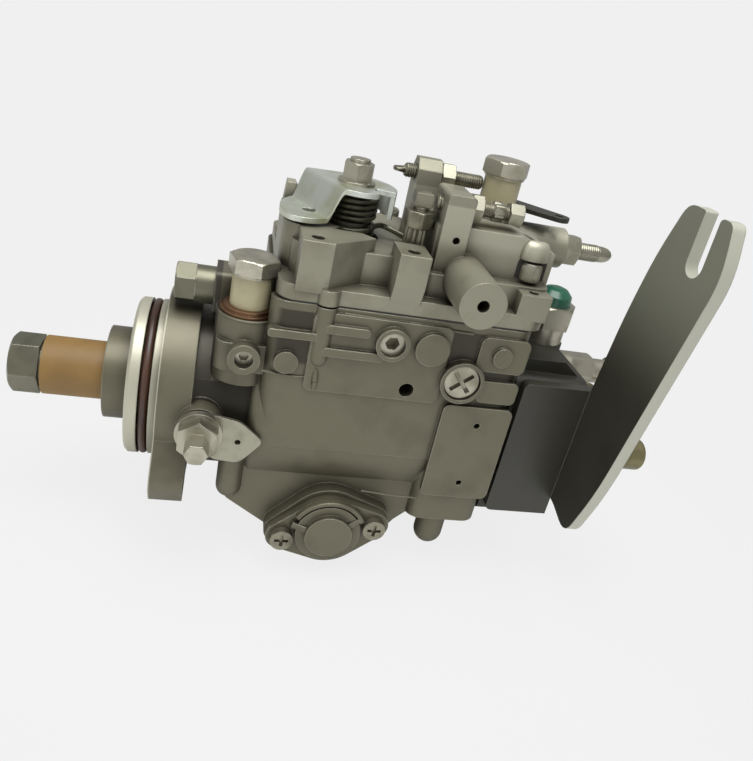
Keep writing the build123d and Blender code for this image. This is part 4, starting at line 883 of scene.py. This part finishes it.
hood = {
    "x": 138.6,
    "face": -30,
    "bite": 0.5,
    "profile": ((85.4, 1.6, 5.4), (85.6, 3.4, 6.1), (88.5, 3.5, 6.1), (91, 2.9, 5.6), (92.6, 1.6, 4.4),
                (93.3, 0.2, 3)),  # height, how far it stands out, half width
    "steps": 16,
}
# the hollow is drawn as a dark arch sheet on the cover face: painted shade of the pocket under the hood
hollow = {"half": 6.1, "foot": 77.6, "shoulder": 84, "rise": 3, "steps": 12, "thickness": 0.3, "sunk": 0.1}
hoodScrew = {
    "out": 0.2,
    "foot": 77.6,
    "knurl": 32,
    "profile": ((0, 4, 0.05), (0.4, 4.3, 0.3), (5.8, 4.3, 0.3), (6.1, 4, 0), (6.9, 3.8, 0), (7, 3.4, 0)),
}


def halfTurn(steps):
    return [math.pi * step / steps for step in range(steps + 1)]


def hoodRing(height, out, half):
    inner = hood["face"] + hood["bite"]
    reach = out + hood["bite"]
    return [(hood["x"] + half * math.cos(angle), inner - reach * math.sin(angle), height)
            for angle in halfTurn(hood["steps"])]


form = bmesh.new()
addRings(form, Matrix(), [hoodRing(*step) for step in hood["profile"]])
makePiece("screwHood", form, "castCover", "pump", 50)

# dark arch sheet of painted shade for the pocket under the hood
form = bmesh.new()
arch = [(-hollow["half"], hollow["foot"]), (hollow["half"], hollow["foot"])]
arch += [(hollow["half"] * math.cos(angle), hollow["shoulder"] + hollow["rise"] * math.sin(angle))
         for angle in halfTurn(hollow["steps"])]
addSheet(form, arch, [], hollow["thickness"],
         place=makeFrame((hood["x"], hood["face"] + hollow["sunk"], 0), (1, 0, 0), (0, 0, 1)))
makePiece("hoodPocketShade", form, "gasketAndPocketShade", "pump", 50)

form = bmesh.new()
place = makeFrame((hood["x"], hood["face"] - hoodScrew["out"], hoodScrew["foot"]), (0, 0, 1), (1, 0, 0))
addRings(form, place, flutedRings(hoodScrew["profile"], hoodScrew["knurl"], 4))
makePiece("hoodScrew", form, "boltSteel", "pump", 50)

# rear bracket: foot on the head and bar with rounded corners and an open slot

bracket = {
    "bar": 176,
    "thickness": 5,
    "face": -37,
    "top": 122.5,
    "slot": (-74, 105),
    "slotRadius": 4.8,
    "slotSteps": 12,
    "slotCorner": 1.5,
    "nearEdge": ((-37, 37), (-37, -19), (-45, -19, 4), (-62, -23.5, 9), (-72, 5.5, 40), (-90, 105, 14)),
    "innerEdge": ((-50.5, 101, 16), (-45.5, 74, 30), (-42, 37)),
    "topCorners": ((-85, 7), (-58, 8)),  # y, radius
    "foot": {"front": 146.5, "low": -28, "high": 37, "corner": 3, "overlap": 0.05},
}


def barOutline():
    y, z = bracket["slot"]
    radius = bracket["slotRadius"]
    top = bracket["top"]
    corner = bracket["slotCorner"]
    (nearY, nearRound), (innerY, innerRound) = bracket["topCorners"]
    outline = turned([*bracket["nearEdge"], (nearY, top, nearRound), (y - radius, top, corner)])
    outline += [(y + radius * math.cos(angle), z - radius * math.sin(angle))
                for angle in reversed(halfTurn(bracket["slotSteps"]))]
    return outline + turned([(y + radius, top, corner), (innerY, top, innerRound), *bracket["innerEdge"]])


def footOutline():
    foot = bracket["foot"]
    rear = bracket["bar"] + foot["overlap"]
    return turned([(foot["front"], foot["low"], foot["corner"]), (rear, foot["low"]), (rear, foot["high"]),
                   (foot["front"], foot["high"], foot["corner"])])


form = bmesh.new()
addSheet(form, barOutline(), [], bracket["thickness"],
         place=makeFrame((bracket["bar"], 0, 0), (0, 1, 0), (0, 0, 1)))
addSheet(form, footOutline(), [], bracket["thickness"] + bracket["foot"]["overlap"],
         place=makeFrame((0, bracket["face"], 0), (1, 0, 0), (0, 0, 1)))
bracketPiece = makePiece("rearBracket", form, "paintedBar", "pump", 30)
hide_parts("rear_bracket")

# lock screw's tag with rounded corners

tag = {
    "face": -43.0,
    "thickness": 1.5,
    "outline": ((19.5, -6.9, 0.5), (24, -11.2, 2.2), (34.5, -12, 3), (43.2, -1.2, 3), (33, 7.3, 3),
                (19.4, 9.6, 1), (12, 8.6, 3), (9.6, 3, 3), (10.2, -3.5, 3), (13, -6, 2)),
    "holes": (((17.5, 1.5), 4.1), ((33, -2.2), 1.2)),
}

form = bmesh.new()
addSheet(form, turned(tag["outline"]), [circle(*hole) for hole in tag["holes"]], tag["thickness"],
         place=makeFrame((0, tag["face"], 0), (1, 0, 0), (0, 0, 1)))
tagPiece = makePiece("tagWasher", form, "boltSteel", "pump", 30)
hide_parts("tag_washer")
print("hood, bracket and tag made")

# raised ribs on both timing covers

timingLid = {
    "x": 76,
    "z": -42,
    "face": 47,
    "arc": (28, 152),
    "steps": 24,
    "crescents": ((14.8, 16.8, 2.6), (11.8, 13.1, 2.0)),  # inner radius, outer radius, height
    "spokeLean": 12,
    "spokeLift": 0.42,
    "spokeHalf": 1.5,
    "spoke": ((10, 3.4), (16.5, 2.2)),  # distance from the centre, height
    "bite": 0.4,
    "bevel": 0.3,
}


def crescentRings(inner, outer, high, up):
    rings = []
    start, end = timingLid["arc"]
    edge = high - timingLid["bevel"]
    for step in range(timingLid["steps"] + 1):
        angle = math.radians(start + (end - start) * step / timingLid["steps"])
        section = ((-timingLid["bite"], inner), (edge, inner + 0.1), (high, inner + 0.5),
                   (high, outer - 0.5), (edge, outer - 0.1), (-timingLid["bite"], outer))
        rings.append([(along, reach * math.cos(angle), up * reach * math.sin(angle))
                      for along, reach in section])
    return rings


def spokeRings(side, up):
    # short rib that leads from the boss to a screw
    lean = math.radians(timingLid["spokeLean"])
    direction = Vector((side * math.cos(lean), up * (side * math.sin(lean) + timingLid["spokeLift"])))
    direction.normalize()
    across = Vector((-direction.y, direction.x)) * timingLid["spokeHalf"]
    rings = []
    for distance, tall in timingLid["spoke"]:
        section = ((-timingLid["bite"], 1), (tall - timingLid["bevel"], 0.9), (tall, 0.5), (tall, -0.5),
                   (tall - timingLid["bevel"], -0.9), (-timingLid["bite"], -1))
        rings.append([(along, *(direction * distance + across * share)) for along, share in section])
    return rings


form = bmesh.new()
for way in (-1, 1):
    place = makeFrame((timingLid["x"], way * timingLid["face"], timingLid["z"]), (0, way, 0), (1, 0, 0))
    for crescent in timingLid["crescents"]:
        addRings(form, place, crescentRings(*crescent, -way))
    for side in (-1, 1):
        addRings(form, place, spokeRings(side, -way))
makePiece("timingLidRibs", form, "castHousing", "pump", 50)

# cast details on the near side: rim of the inlet cup, a pointed fin, and the lines along the wall

cupRim = {"height": 47.4, "radius": 12.1, "arc": (150, 400), "steps": 40, "bead": 0.55}
wallLines = {
    "fin": {"bead": 1.3, "route": ((59, -42.2, 33.5), (59.2, -43.1, 29), (59.4, -42.3, 24.5))},
    "belowColumn": {"bead": 0.5, "route": ((61.5, -42.2, 33), (66, -42.2, 32.6), (78, -42.1, 31.2),
                                           (84, -42.1, 30.2), (86, -42.1, 27.5))},
    "beforeColumn": {"bead": 0.45, "route": ((38.5, -42.1, 30), (44, -42.2, 29.4), (50, -42.2, 29),
                                             (56, -42.2, 29.2))},
    "underCover": {"bead": 0.6, "route": ((66, -42.1, 57.6), (80, -42.1, 57.2), (100, -42.1, 56.6),
                                          (118, -42.1, 56))},
    "lowWall": {"bead": 0.4, "route": ((113, -42, -24.5), (100, -42, -24), (88, -41.9, -23))},
}

form = bmesh.new()
cupX, cupY = ports["inlet"]["spot"]
start, end = cupRim["arc"]
path = []
for step in range(cupRim["steps"] + 1):
    angle = math.radians(start + (end - start) * step / cupRim["steps"])
    path.append((cupX + cupRim["radius"] * math.cos(angle), cupY + cupRim["radius"] * math.sin(angle),
                 cupRim["height"]))
addTube(form, path, cupRim["bead"])
for line in wallLines.values():
    addTube(form, smoothPath(line["route"]), line["bead"], 12)
makePiece("castLines", form, "castHousing", "pump", 60)
print("cast details made")
